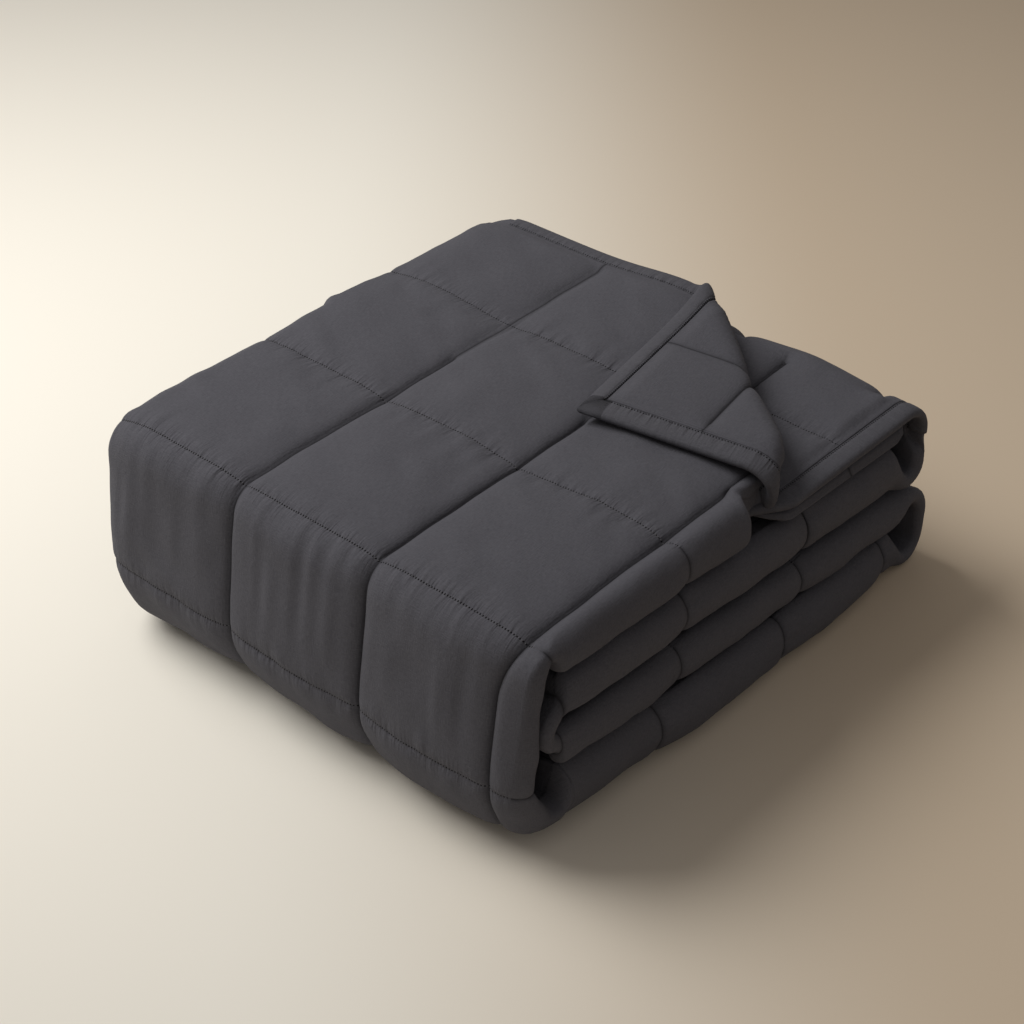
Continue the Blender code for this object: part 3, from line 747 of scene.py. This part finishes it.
def flat_sections(us, per_square, inner_count):
    """Arrays of x, w, unrolled x and the share of the inner face, one row per place u."""
    top, bottom = faces_at(us)
    low, high = left_x(us), right_x(us)
    face, grooves = face_columns(us, low, high, per_square)
    inner = inner_columns(us, low, high, inner_count)
    share = bound(us)[:, None]
    thin = (1.0 - thick(bottom))[:, None] * share
    lip_in, lip_w = lip_profile(top, bottom, under_droop(us))
    fold_in, fold_w = round_profile(top, bottom, SIDE_POINTS)
    right_in, right_w = mix(fold_in, lip_in, share), mix(fold_w, lip_w, share)
    top, bottom, low, high = top[:, None], bottom[:, None], low[:, None], high[:, None]

    drop = np.clip(top - LIP_LEVEL - LIP_STEP, 0.0, None) * near_side(face, high) * share
    rise = np.clip(-bottom - LIP_LEVEL - LIP_STEP, 0.0, None) * near_side(inner, high) * thin
    x = np.concatenate([wander(face, grooves, us, share), high - right_in, inner,
                        low + fold_in[:, ::-1]], axis=1)
    w = np.concatenate([top - drop, right_w, bottom + rise, fold_w[:, ::-1]], axis=1)
    unrolled = np.concatenate([
        face,
        high - LIP_SHOULDER + way_round(right_in, right_w, top),
        inner,
        (low + LIP_SHOULDER - way_round(fold_in, fold_w, top))[:, ::-1],
    ], axis=1)
    is_inner = np.zeros_like(x)
    is_inner[:, face.shape[1] + SIDE_POINTS:-SIDE_POINTS] = 1.0
    return x, w, unrolled, is_inner


def press_in(x, w, unrolled, is_inner, us):
    """Moves each section in along its own normals by the relief of the sewing."""
    u = np.repeat(us[:, None], x.shape[1], 1)
    ahead, behind = np.roll(x, -1, 1) - np.roll(x, 1, 1), np.roll(w, -1, 1) - np.roll(w, 1, 1)
    size = np.hypot(ahead, behind) + 1e-9
    nx, nw = -behind / size, ahead / size
    from_right = right_x(us)[:, None] - x
    free = 1.0 - bound(us)[:, None] * (1.0 - smooth(LIP_ROOT, LIP_ROOT + LIP_CALM, from_right))
    free = free * smooth(LIP_SHOULDER + END_CALM[0], LIP_SHOULDER + END_CALM[1], u)
    free = free * smooth(0.0, LIP_CALM, FOLD.length - u)
    top, bottom = faces_at(us)
    deepest = DEEPEST_SHARE * (top - bottom)[:, None]
    move = relief(unrolled, u, is_inner) - wrinkles(unrolled, u, 1.0 - INNER_WRINKLE_LOSS * is_inner)
    move = np.where(move > 0.0, np.minimum(move, deepest), move) * free
    return x - nx * move, w - nw * move


def curl(x, us, w):
    """How far the outer wrap curls in towards the stack near its two sides."""
    right, left = right_x(us)[:, None], left_x(us)[:, None]
    bottom = faces_at(us)[1][:, None]
    into = np.maximum(np.maximum(x - (right - CURL_REACH), left + CURL_REACH - x), 0.0)
    height = (w - bottom) / (OUTER - bottom)
    share = mix(mix(CURL_INNER, 1.0, height), height, smooth(*CURL_DEPTHS, -bottom))
    return from_rows(CURL_ROWS, us)[:, None] * share * (into / CURL_REACH) ** 2


# ---------------- folding the flat cloth
def turn_corner(x, u, w):
    """Rolls what lies past the turn line over onto the top."""
    ax, au = (TURN_TO[1] - TURN_FROM[1]) / TURN_REACH, -(TURN_TO[0] - TURN_FROM[0]) / TURN_REACH
    past = past_turn(x, u)
    turned = (past > 0.0) & (u < DRAPE_TO_U)
    angle = np.clip(past / TURN_RADIUS, 0.0, math.pi)
    arm = TURN_RADIUS - w
    moved = arm * np.sin(angle) - np.clip(past - math.pi * TURN_RADIUS, 0.0, None)
    new_x = np.where(turned, x + (moved - past) * ax, x)
    new_u = np.where(turned, u + (moved - past) * au, u)
    new_w = np.where(turned, TURN_RADIUS - arm * np.cos(angle), w)
    away = (new_x - TURN_FROM[0]) ** 2 + new_u**2
    return new_x, new_u, new_w + TURN_LIFT * np.exp(-away / TURN_LIFT_REACH**2)


def drape_side(x, u, w, share):
    """Hangs the turned corner down over the side of the stack."""
    angle = np.clip(x - DRAPE_X, 0.0, None) / DRAPE_STRETCH
    arm = DRAPE_TOP + w - OUTER
    hung = x > DRAPE_X
    new_x = np.where(hung, mix(x, DRAPE_X + arm * np.sin(angle), share), x)
    tail = smooth(*FLAP_TAIL_ANGLES, angle)
    hang = OUTER - DRAPE_TOP + arm * np.cos(angle) - FLAP_TAIL * tail
    new_u = np.where(hung, u - FLAP_LEAN * tail * share, u)
    new_w = np.where(hung, mix(w, hang, share), w)
    return new_x, new_u, new_w


box_low, box_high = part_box("quilt")
SHIFT = np.array((box_low[0] - LEFT_X, box_high[1] - BACK_Y, 0.0))


def fold(x, u, w):
    """Where flat points lie in the folded stack, in the row's frame."""
    share = (1.0 - smooth(DRAPE_FROM_U, DRAPE_TO_U, u)) * (u < DRAPE_TO_U)
    x, u, w = turn_corner(x, u, w)
    x, u, w = drape_side(x, u, w, share)
    point, out = FOLD.at(u)
    y, z = point[..., 0] + out[..., 0] * w, point[..., 1] + out[..., 1] * w
    near = np.clip(LEFT_X + PRESS_REACH - x, 0.0, None) / PRESS_REACH
    corner = np.maximum(smooth(*PRESS_BACK_Y, y), 1.0 - smooth(*PRESS_FRONT_Y, y))
    share = PRESS_SIDE + PRESS_CORNER * corner
    return np.stack((x, y, np.maximum(z * (1.0 - share * near**2), 0.0)), axis=-1) + SHIFT


# ---------------- meshes
def grid_faces(rows, columns):
    """Quads of a tube with rows rings of columns points."""
    i, j = np.meshgrid(np.arange(rows - 1), np.arange(columns), indexing="ij")
    k = (j + 1) % columns
    return np.stack((i * columns + j, i * columns + k, (i + 1) * columns + k, (i + 1) * columns + j),
                    axis=-1).reshape(-1, 4)


def tube_object(name, points, flat_uv, sewn_uv, material):
    """A closed tube through rows of points, with its cloth places kept as UV maps."""
    rows, columns = points.shape[:2]
    quads = grid_faces(rows, columns)
    ends = [list(range(columns))[::-1], list(range((rows - 1) * columns, rows * columns))]
    mesh = bpy.data.meshes.new(name)
    mesh.from_pydata(points.reshape(-1, 3).tolist(), [], quads.tolist() + ends)
    mesh.update()
    work = bmesh.new()
    work.from_mesh(mesh)
    if work.calc_volume(signed=True) < 0.0:
        bmesh.ops.reverse_faces(work, faces=work.faces)
        work.to_mesh(mesh)
    work.free()
    corners = np.zeros(len(mesh.loops), dtype=np.int32)
    mesh.loops.foreach_get("vertex_index", corners)
    for title, uv in (("cloth", flat_uv), ("sewn", sewn_uv)):
        layer = mesh.uv_layers.new(name=title)
        layer.data.foreach_set("uv", uv.reshape(-1, 2)[corners].astype(np.float32).ravel())
    mesh.materials.append(material)
    mesh.shade_smooth()
    thing = bpy.data.objects.new(name, mesh)
    bpy.context.collection.objects.link(thing)
    return thing


def places_between(start, end, per_seam):
    """Places along the cloth, closer together near stitched lines and the open end."""
    lines = sorted(SEAM_US + [TURN_LINE_FROM_END])
    knots = [start] + [u for u in lines if start + LEAST_ROW_GAP < u < end - LEAST_ROW_GAP] + [end]
    out = []
    for a, b in zip(knots, knots[1:]):
        finer = OPEN_END_FINER if a < DRAPE_TO_U - OPEN_END_MARGIN else 1.0
        count = max(int(finer * per_seam * (b - a) / POCKET), 4)
        out.append(clustered(a, b, count)[:-1])
    out = np.concatenate(out + [[end]])
    if start < LIP_SHOULDER:
        out = np.concatenate([EDGE_ROWS, out[out > EDGE_ROWS_TO]])
    return out


def quilt_skin(name, start, end, per_seam, per_square, inner_count, material):
    """One length of the body's skin. Its sides and inner faces show stitched lines as creases, with the
    painted crease shade of the grooves on them.
    """
    us = places_between(start, end, per_seam)
    x, w, unrolled, is_inner = flat_sections(us, per_square, inner_count)
    x, w = press_in(x, w, unrolled, is_inner, us)
    w = w - curl(x, us, w)
    u = np.repeat(us[:, None], x.shape[1], 1)
    points = fold(x, u, w + edge_droop(x, u))
    # The sewn UV map holds the distance to the nearest groove, which the material darkens as painted
    # crease shade, and to the nearest stitched line. On the sides and inner face the stitched lines take
    # the groove's place, so they get that painted shade too.
    groove, seam = np.abs(sewn_lines(unrolled, u))
    on_side = (right_x(us)[:, None] - unrolled < SIDE_FROM) & (u > DRAPE_TO_U) | (is_inner > 0.5)
    groove = np.where(on_side, np.minimum(seam, groove), groove)
    seam = np.where(on_side, FAR_FROM_SEAM, seam)
    return tube_object(name, points, np.stack((unrolled, u), -1), np.stack((groove, seam), -1), material)


# ---------------- bindings
def tape_section(droop, gap_open):
    """The U of a tape folded round a lip: insets from the edge and heights."""
    inner, outer = LIP_HALF + TAPE_GAP, LIP_HALF + TAPE_GAP + TAPE_THICK
    insets, swell = np.array(TAPE_FACE).T
    insets = insets - gap_open * smooth(TAPE_STITCH - TAPE_OPEN_RAMP, TAPE_STITCH, insets)
    top = outer + swell
    count = len(TAPE_INSIDE)
    back = np.concatenate([insets, [TAPE_EDGE], insets[::-1], TAPE_INSIDE, TAPE_INSIDE[::-1]])
    high = np.concatenate([top, [0.0], -top[::-1], np.full(count, -inner), np.full(count, inner)])
    return back, high + lip_middle(back, droop)


def tape_object(name, along, place, droops, gaps, material, weave_from):
    """A tape: place(t, inset) gives flat x and u for each step t along it."""
    flat, cloth, sewn = [], [], []
    wavers = TAPE_WAVER * noise(along / TAPE_WAVER_LENGTH, np.full_like(along, 0.5), 21)
    tucks = TAPE_TUCKS * noise(along / TAPE_TUCK_LENGTH, np.full_like(along, 0.5), 22)
    for t, droop, gap_open, waver, tuck in zip(along, droops, gaps, wavers, tucks):
        back, high = tape_section(droop, gap_open)
        lift = 1.0 + tuck * np.exp(-((back - TAPE_STITCH) / TAPE_TUCK_REACH) ** 2)
        x, u = place(t, back + waver * smooth(TAPE_WAVER_FROM, TAPE_WIDTH, back))
        flat.append(np.stack((x, u, high * lift), -1))
        cloth.append(np.stack((back + weave_from, np.full_like(back, t)), -1))
        sewn.append(np.stack((np.full_like(back, FAR_FROM_SEAM), back - TAPE_STITCH), -1))
    flat = np.array(flat)
    flat[..., 2] += edge_droop(flat[..., 0], flat[..., 1])
    points = fold(flat[..., 0], flat[..., 1], flat[..., 2])
    return tube_object(name, points, np.array(cloth), np.array(sewn), material)


def end_tape(material):
    """The tape on the open end, from its left corner to the mitre."""
    straight = np.linspace(TAPE_START_X, COVER_EDGE_X - LIP_SHOULDER, 128)
    along = np.append(straight, MITRE_STEP)

    def place(t, inset):
        if t < MITRE_STEP:
            return np.full_like(inset, t), inset
        return COVER_EDGE_X - inset - MITRE_GAP, inset

    past = past_turn(np.minimum(along, COVER_EDGE_X), 0.0)
    gaps = TAPE_OPEN * smooth(*TAPE_OPEN_AFTER_TURN, past)
    return tape_object("binding_end_tape", along, place, np.zeros(len(along)), gaps, material, 2.0)


def side_tape(material):
    """The tape on the side of the turned corner, from the mitre to where it tucks in."""
    straight = np.linspace(LIP_SHOULDER + MITRE_RUN, TAPE_TUCK_U + TUCK_MORE, 60)
    along = np.append(MITRE_STEP, straight)

    def place(t, inset):
        if t < MITRE_STEP:
            return COVER_EDGE_X - inset, np.full_like(inset, t)
        return COVER_EDGE_X - inset, inset + MITRE_GAP

    still = np.zeros(len(along))
    return tape_object("binding_side_tape", along, place, still, still, material, 3.0)


def under_tape(material):
    """The tape on the side of the inner end, from that end into the upper loop."""
    along = np.linspace(UNDER_END_FROM_U + UNDER_TAPE_ENDS[0], UNDER_LIP_TO_U + UNDER_TAPE_ENDS[1], 96)

    def place(t, inset):
        return right_x(np.array([t]))[0] - inset, np.full_like(inset, t)

    shut = np.zeros(len(along))
    return tape_object("binding_under_tape", along, place, under_droop(along), shut, material, 4.0)


# ---------------- stitches
def thread_beads(name, middle, way, out, material):
    """Short threads in one mesh: each has a middle, the way it runs and the way it stands out."""
    sides, rings = STITCH_SIDES, len(STITCH_RINGS)
    faces = []
    across = np.cross(way, out)
    angle = 2 * np.pi * np.arange(sides) / sides
    total = len(middle)
    block = np.zeros((total, rings, sides, 3))
    for r, (t, size, rise) in enumerate(STITCH_RINGS):
        centre = middle + way * (t * STITCH_LENGTH) + out * (rise * STITCH_THICK)
        for s in range(sides):
            block[:, r, s] = (centre + across * (math.cos(angle[s]) * STITCH_THICK * size)
                              + out * (math.sin(angle[s]) * STITCH_THICK * size * STITCH_FLAT))
    base = (np.arange(total) * rings * sides)[:, None]
    for r in range(rings - 1):
        for s in range(sides):
            n = (s + 1) % sides
            quad = np.array([r * sides + s, r * sides + n, (r + 1) * sides + n, (r + 1) * sides + s])
            faces.append(base + quad[None])
    quads = np.concatenate(faces).tolist()
    caps = (base + np.arange(sides)[::-1][None]).tolist()
    caps += (base + (rings - 1) * sides + np.arange(sides)[None]).tolist()
    mesh = bpy.data.meshes.new(name)
    mesh.from_pydata(block.reshape(-1, 3).tolist(), [], quads + caps)
    mesh.update()
    mesh.materials.append(material)
    mesh.shade_smooth()
    thing = bpy.data.objects.new(name, mesh)
    bpy.context.collection.objects.link(thing)
    return thing


def seam_row(u_line, x_from, x_to):
    """Middles of the stitches of one sewn line across the cloth, on its outer face."""
    count = int((x_to - x_from) / STITCH_PITCH)
    return np.array([(x_from + (k + 0.5) * STITCH_PITCH, u_line) for k in range(count)])


def surface_points(x, u, w):
    """Folded points on the flat places, the way along x there and the outward direction."""
    middle = fold(x, u, w)
    way = fold(x + SMALL_STEP, u, w) - middle
    way /= np.linalg.norm(way, axis=-1, keepdims=True)
    out = fold(x, u, w + SMALL_STEP) - middle
    out /= np.linalg.norm(out, axis=-1, keepdims=True)
    return middle, way, out


def seam_stitches(material):
    """The stitches that show on the outer face."""
    spots = []
    for index, u_line in enumerate(SEAM_US):
        if index not in HIDDEN_SEAMS:
            spots.append(seam_row(u_line, STITCHES_FROM_X, STITCHES_TO_X))
    x, u = np.concatenate(spots).T
    flat = (past_turn(x, u) < 0.0) | (u >= DRAPE_TO_U)
    x, u = x[flat], u[flat]
    w = faces_at(u)[0] - relief(x, u, 0.0) + wrinkles(x, u, 1.0) - STITCH_SINK
    w = w - curl(x[:, None], u, w[:, None])[:, 0]
    return thread_beads("seam_stitches", *surface_points(x, u, w), material)


# ---------------- materials
def cloth_material(name, light, dark, sewn_axis):
    """Woven cloth with a soft nap, needle marks and puckers along its stitched lines, and creases. The
    needle marks and the creases at the grooves are painted shade, a dark colour mixed into the cloth's
    own.

    sewn_axis is the cloth axis that stitched lines follow: 0 for x, 1 for u.
    """
    material = bpy.data.materials.new(name)
    material.use_nodes = True
    nodes, links = material.node_tree.nodes, material.node_tree.links
    shader = nodes["Principled BSDF"]
    shader.inputs["Roughness"].default_value = 0.88
    shader.inputs["Metallic"].default_value = 0.0
    shader.inputs["Specular IOR Level"].default_value = 0.12
    shader.inputs["Sheen Weight"].default_value = 0.03
    shader.inputs["Sheen Roughness"].default_value = 0.45
    shader.inputs["Sheen Tint"].default_value = SHEEN

    def node(kind, **values):
        made = nodes.new(kind)
        for key, value in values.items():
            setattr(made, key, value)
        return made

    def maths(operation, a, b=None):
        made = node("ShaderNodeMath", operation=operation)
        for socket, value in zip(made.inputs, (a, b)):
            if value is None:
                continue
            if isinstance(value, (int, float)):
                socket.default_value = value
            else:
                links.new(value, socket)
        return made.outputs[0]

    cloth = node("ShaderNodeUVMap", uv_map="cloth").outputs[0]
    sewn = node("ShaderNodeUVMap", uv_map="sewn").outputs[0]
    cloth_xy = node("ShaderNodeSeparateXYZ")
    links.new(cloth, cloth_xy.inputs[0])
    sewn_xy = node("ShaderNodeSeparateXYZ")
    links.new(sewn, sewn_xy.inputs[0])

    def stretched(scale_x, scale_y, detail):
        mapping = node("ShaderNodeMapping")
        mapping.inputs["Scale"].default_value = (scale_x, scale_y, 1.0)
        links.new(cloth, mapping.inputs["Vector"])
        made = node("ShaderNodeTexNoise")
        made.inputs["Scale"].default_value = 1.0
        made.inputs["Detail"].default_value = detail
        made.inputs["Roughness"].default_value = 0.6
        links.new(mapping.outputs[0], made.inputs["Vector"])
        return made.outputs["Fac"]

    def fade(distance, rate):
        """1 on a line, falling off with the distance from it."""
        return maths("POWER", math.e, maths("MULTIPLY", maths("ABSOLUTE", distance), -rate))

    warp = stretched(YARN_FINE, YARN_LONG, 2.0)
    weft = stretched(YARN_LONG, YARN_FINE, 2.0)
    cloud = stretched(CLOUD, CLOUD, 3.0)
    grain = stretched(GRAIN, GRAIN, 1.0)
    threads = maths("ADD", warp, weft)
    tone = maths("ADD", maths("MULTIPLY", threads, YARN_TONE), maths("MULTIPLY", cloud, CLOUD_TONE))
    tone = maths("ADD", tone, maths("MULTIPLY", grain, GRAIN_TONE))
    ramp = node("ShaderNodeValToRGB")
    ramp.color_ramp.elements[0].position = TONE_FROM
    ramp.color_ramp.elements[0].color = dark
    ramp.color_ramp.elements[1].position = TONE_TO
    ramp.color_ramp.elements[1].color = light
    links.new(tone, ramp.inputs[0])

    # Needle holes along the stitched lines, painted dark as shade in the holes.
    phase = maths("FRACT", maths("DIVIDE", cloth_xy.outputs[sewn_axis], STITCH_PITCH))
    off_middle = maths("ABSOLUTE", maths("SUBTRACT", phase, 0.5))
    hole = maths("LESS_THAN", maths("ABSOLUTE", maths("SUBTRACT", off_middle, 0.5)), NEEDLE_SHARE)
    line = maths("LESS_THAN", maths("ABSOLUTE", sewn_xy.outputs[1]), NEEDLE_LINE)
    mark = maths("MULTIPLY", hole, line)
    # Painted shade along the groove creases, darkest at a groove's middle.
    crease_shade = maths("MULTIPLY", fade(sewn_xy.outputs[0], CREASE_SHADE_FADE), CREASE_SHADE_SHARE)
    mark = maths("MAXIMUM", mark, crease_shade)
    # Mixes the painted shade of needle holes and creases into the cloth's colour.
    shade = node("ShaderNodeMix", data_type="RGBA")
    links.new(mark, shade.inputs["Factor"])
    links.new(ramp.outputs[0], shade.inputs["A"])
    shade.inputs["B"].default_value = CREASE_SHADE
    links.new(shade.outputs["Result"], shader.inputs["Base Color"])

    gather_scale = (GATHER_ACROSS, GATHER_ALONG) if sewn_axis == 0 else (GATHER_ALONG, GATHER_ACROSS)
    gather = stretched(*gather_scale, 2.0)
    ripple = maths("MULTIPLY", maths("SUBTRACT", gather, 0.5), fade(sewn_xy.outputs[1], GATHER_FADE))
    height = maths("ADD", maths("MULTIPLY", threads, YARN_LIFT), maths("MULTIPLY", ripple, GATHER_LIFT))
    height = maths("SUBTRACT", height, maths("MULTIPLY", mark, MARK_DROP))
    height = maths("ADD", height, maths("MULTIPLY", cloud, CLOUD_LIFT))
    bump = node("ShaderNodeBump")
    bump.inputs["Distance"].default_value = 1.0
    bump.inputs["Strength"].default_value = 0.9
    links.new(height, bump.inputs["Height"])
    links.new(bump.outputs[0], shader.inputs["Normal"])
    return material


def thread_material():
    """Matt twisted thread in the cloth's colour."""
    material = bpy.data.materials.new("stitch_thread")
    material.use_nodes = True
    nodes, links = material.node_tree.nodes, material.node_tree.links
    shader = nodes["Principled BSDF"]
    shader.inputs["Roughness"].default_value = 0.6
    shader.inputs["Sheen Weight"].default_value = 0.15
    twist = nodes.new("ShaderNodeTexNoise")
    twist.inputs["Scale"].default_value = 2500.0
    ramp = nodes.new("ShaderNodeValToRGB")
    ramp.color_ramp.elements[0].color = THREAD_DARK
    ramp.color_ramp.elements[1].color = THREAD_LIGHT
    links.new(twist.outputs["Fac"], ramp.inputs[0])
    links.new(ramp.outputs[0], shader.inputs["Base Color"])
    return material


def floor_material():
    """A pale floor with painted shade: its colour turns warmer and darker away from the lamp, for the
    lamp's falloff.
    """
    material = bpy.data.materials.new("pale_floor")
    material.use_nodes = True
    nodes, links = material.node_tree.nodes, material.node_tree.links
    shader = nodes["Principled BSDF"]
    shader.inputs["Roughness"].default_value = 0.75
    shader.inputs["Specular IOR Level"].default_value = 0.2
    places = nodes.new("ShaderNodeTexCoord")
    turned = nodes.new("ShaderNodeMapping")
    turned.inputs["Rotation"].default_value = (0.0, 0.0, -FLOOR_WAY)
    apart = nodes.new("ShaderNodeSeparateXYZ")
    share = nodes.new("ShaderNodeMapRange")
    share.interpolation_type = "SMOOTHSTEP"
    share.inputs["From Min"].default_value = FLOOR_SHADE_FADE[0]
    share.inputs["From Max"].default_value = FLOOR_SHADE_FADE[1]
    # Painted shade: blends the pale floor colour into the darker one away from the lamp.
    blend = nodes.new("ShaderNodeMix")
    blend.data_type = "RGBA"
    blend.inputs["A"].default_value = FLOOR_NEAR
    blend.inputs["B"].default_value = FLOOR_SHADED
    links.new(places.outputs["Object"], turned.inputs["Vector"])
    links.new(turned.outputs[0], apart.inputs[0])
    links.new(apart.outputs[0], share.inputs["Value"])
    links.new(share.outputs["Result"], blend.inputs["Factor"])
    links.new(blend.outputs["Result"], shader.inputs["Base Color"])
    return material


# ---------------- the pieces
quilt_cloth = cloth_material("quilt_weave", QUILT_LIGHT, QUILT_DARK, 0)
tape_cloth = cloth_material("tape_weave", TAPE_LIGHT, TAPE_DARK, 1)
thread = thread_material()

# Each length of the skin: from, to, rows a pocket, columns of its faces a pocket, and of the inner
# face. What lies hidden between the passes is coarser.
for name, start, end, rows, columns, inner_count in (
    ("cover_skin", 0.0, PIECE_CUT_U, 42, 42, 58),
    ("passes_skin", PIECE_CUT_U, INNER_CUT_U, 36, 10, 16),
    ("inner_skin", INNER_CUT_U, FOLD.length, 44, 40, 24),
):
    piece = quilt_skin(name, start, end, rows, columns, inner_count, quilt_cloth)
    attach(piece, "root")
    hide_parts("quilt")
stitches = seam_stitches(thread)
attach(stitches, "root")

# Each tape, the node it stands for, and its flat length.
for tape, node_name, length in (
    (end_tape(tape_cloth), "binding_end", 0.356),
    (side_tape(tape_cloth), "binding_side", 0.150),
    (under_tape(tape_cloth), "binding_under", 0.208),
):
    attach(tape, "root")
    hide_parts(node_name)

# ---------------- floor, light and camera
floor_mesh = bpy.data.meshes.new("floor")
floor_corners = [(FLOOR_REACH * i, FLOOR_REACH * j, 0) for i, j in ((-1, -1), (1, -1), (1, 1), (-1, 1))]
floor_mesh.from_pydata(floor_corners, [], [(0, 1, 2, 3)])
floor = bpy.data.objects.new("floor", floor_mesh)
floor_mesh.materials.append(floor_material())
bpy.context.collection.objects.link(floor)


def soft_key():
    """The one lamp: a wide spot from the left that fades out to the right."""
    data = bpy.data.lights.new("key", "SPOT")
    data.shadow_soft_size = KEY_SIZE
    data.energy = KEY_ENERGY
    data.color = KEY_COLOUR
    data.spot_size = KEY_CONE
    data.spot_blend = 1.0
    lamp = bpy.data.objects.new("key", data)
    lamp.location = KEY_PLACE
    lamp.rotation_euler = (Vector(KEY_AIM) - Vector(KEY_PLACE)).to_track_quat("-Z", "Y").to_euler()
    bpy.context.collection.objects.link(lamp)


soft_key()

world = bpy.data.worlds.new("soft_room")
bpy.context.scene.world = world
world.use_nodes = True
world.node_tree.nodes["Background"].inputs["Color"].default_value = ROOM_COLOUR
world.node_tree.nodes["Background"].inputs["Strength"].default_value = ROOM_STRENGTH

back = Vector((math.sin(AZIMUTH) * math.cos(ELEVATION), -math.cos(AZIMUTH) * math.cos(ELEVATION),
               math.sin(ELEVATION)))
right = Vector((math.cos(AZIMUTH), math.sin(AZIMUTH), 0.0))
up = back.cross(right)
target = Vector(AIM) + Vector(SHIFT)
lens = bpy.data.cameras.new("camera")
lens.sensor_width = SENSOR
lens.lens = SENSOR * FOCAL_PIXELS / PHOTO_PIXELS
camera = bpy.data.objects.new("camera", lens)
pose = Matrix((right, up, back)).transposed().to_4x4()
pose.translation = target + back * DISTANCE
camera.matrix_world = pose
bpy.context.collection.objects.link(camera)
bpy.context.scene.camera = camera
bpy.context.scene.view_settings.view_transform = "Standard"
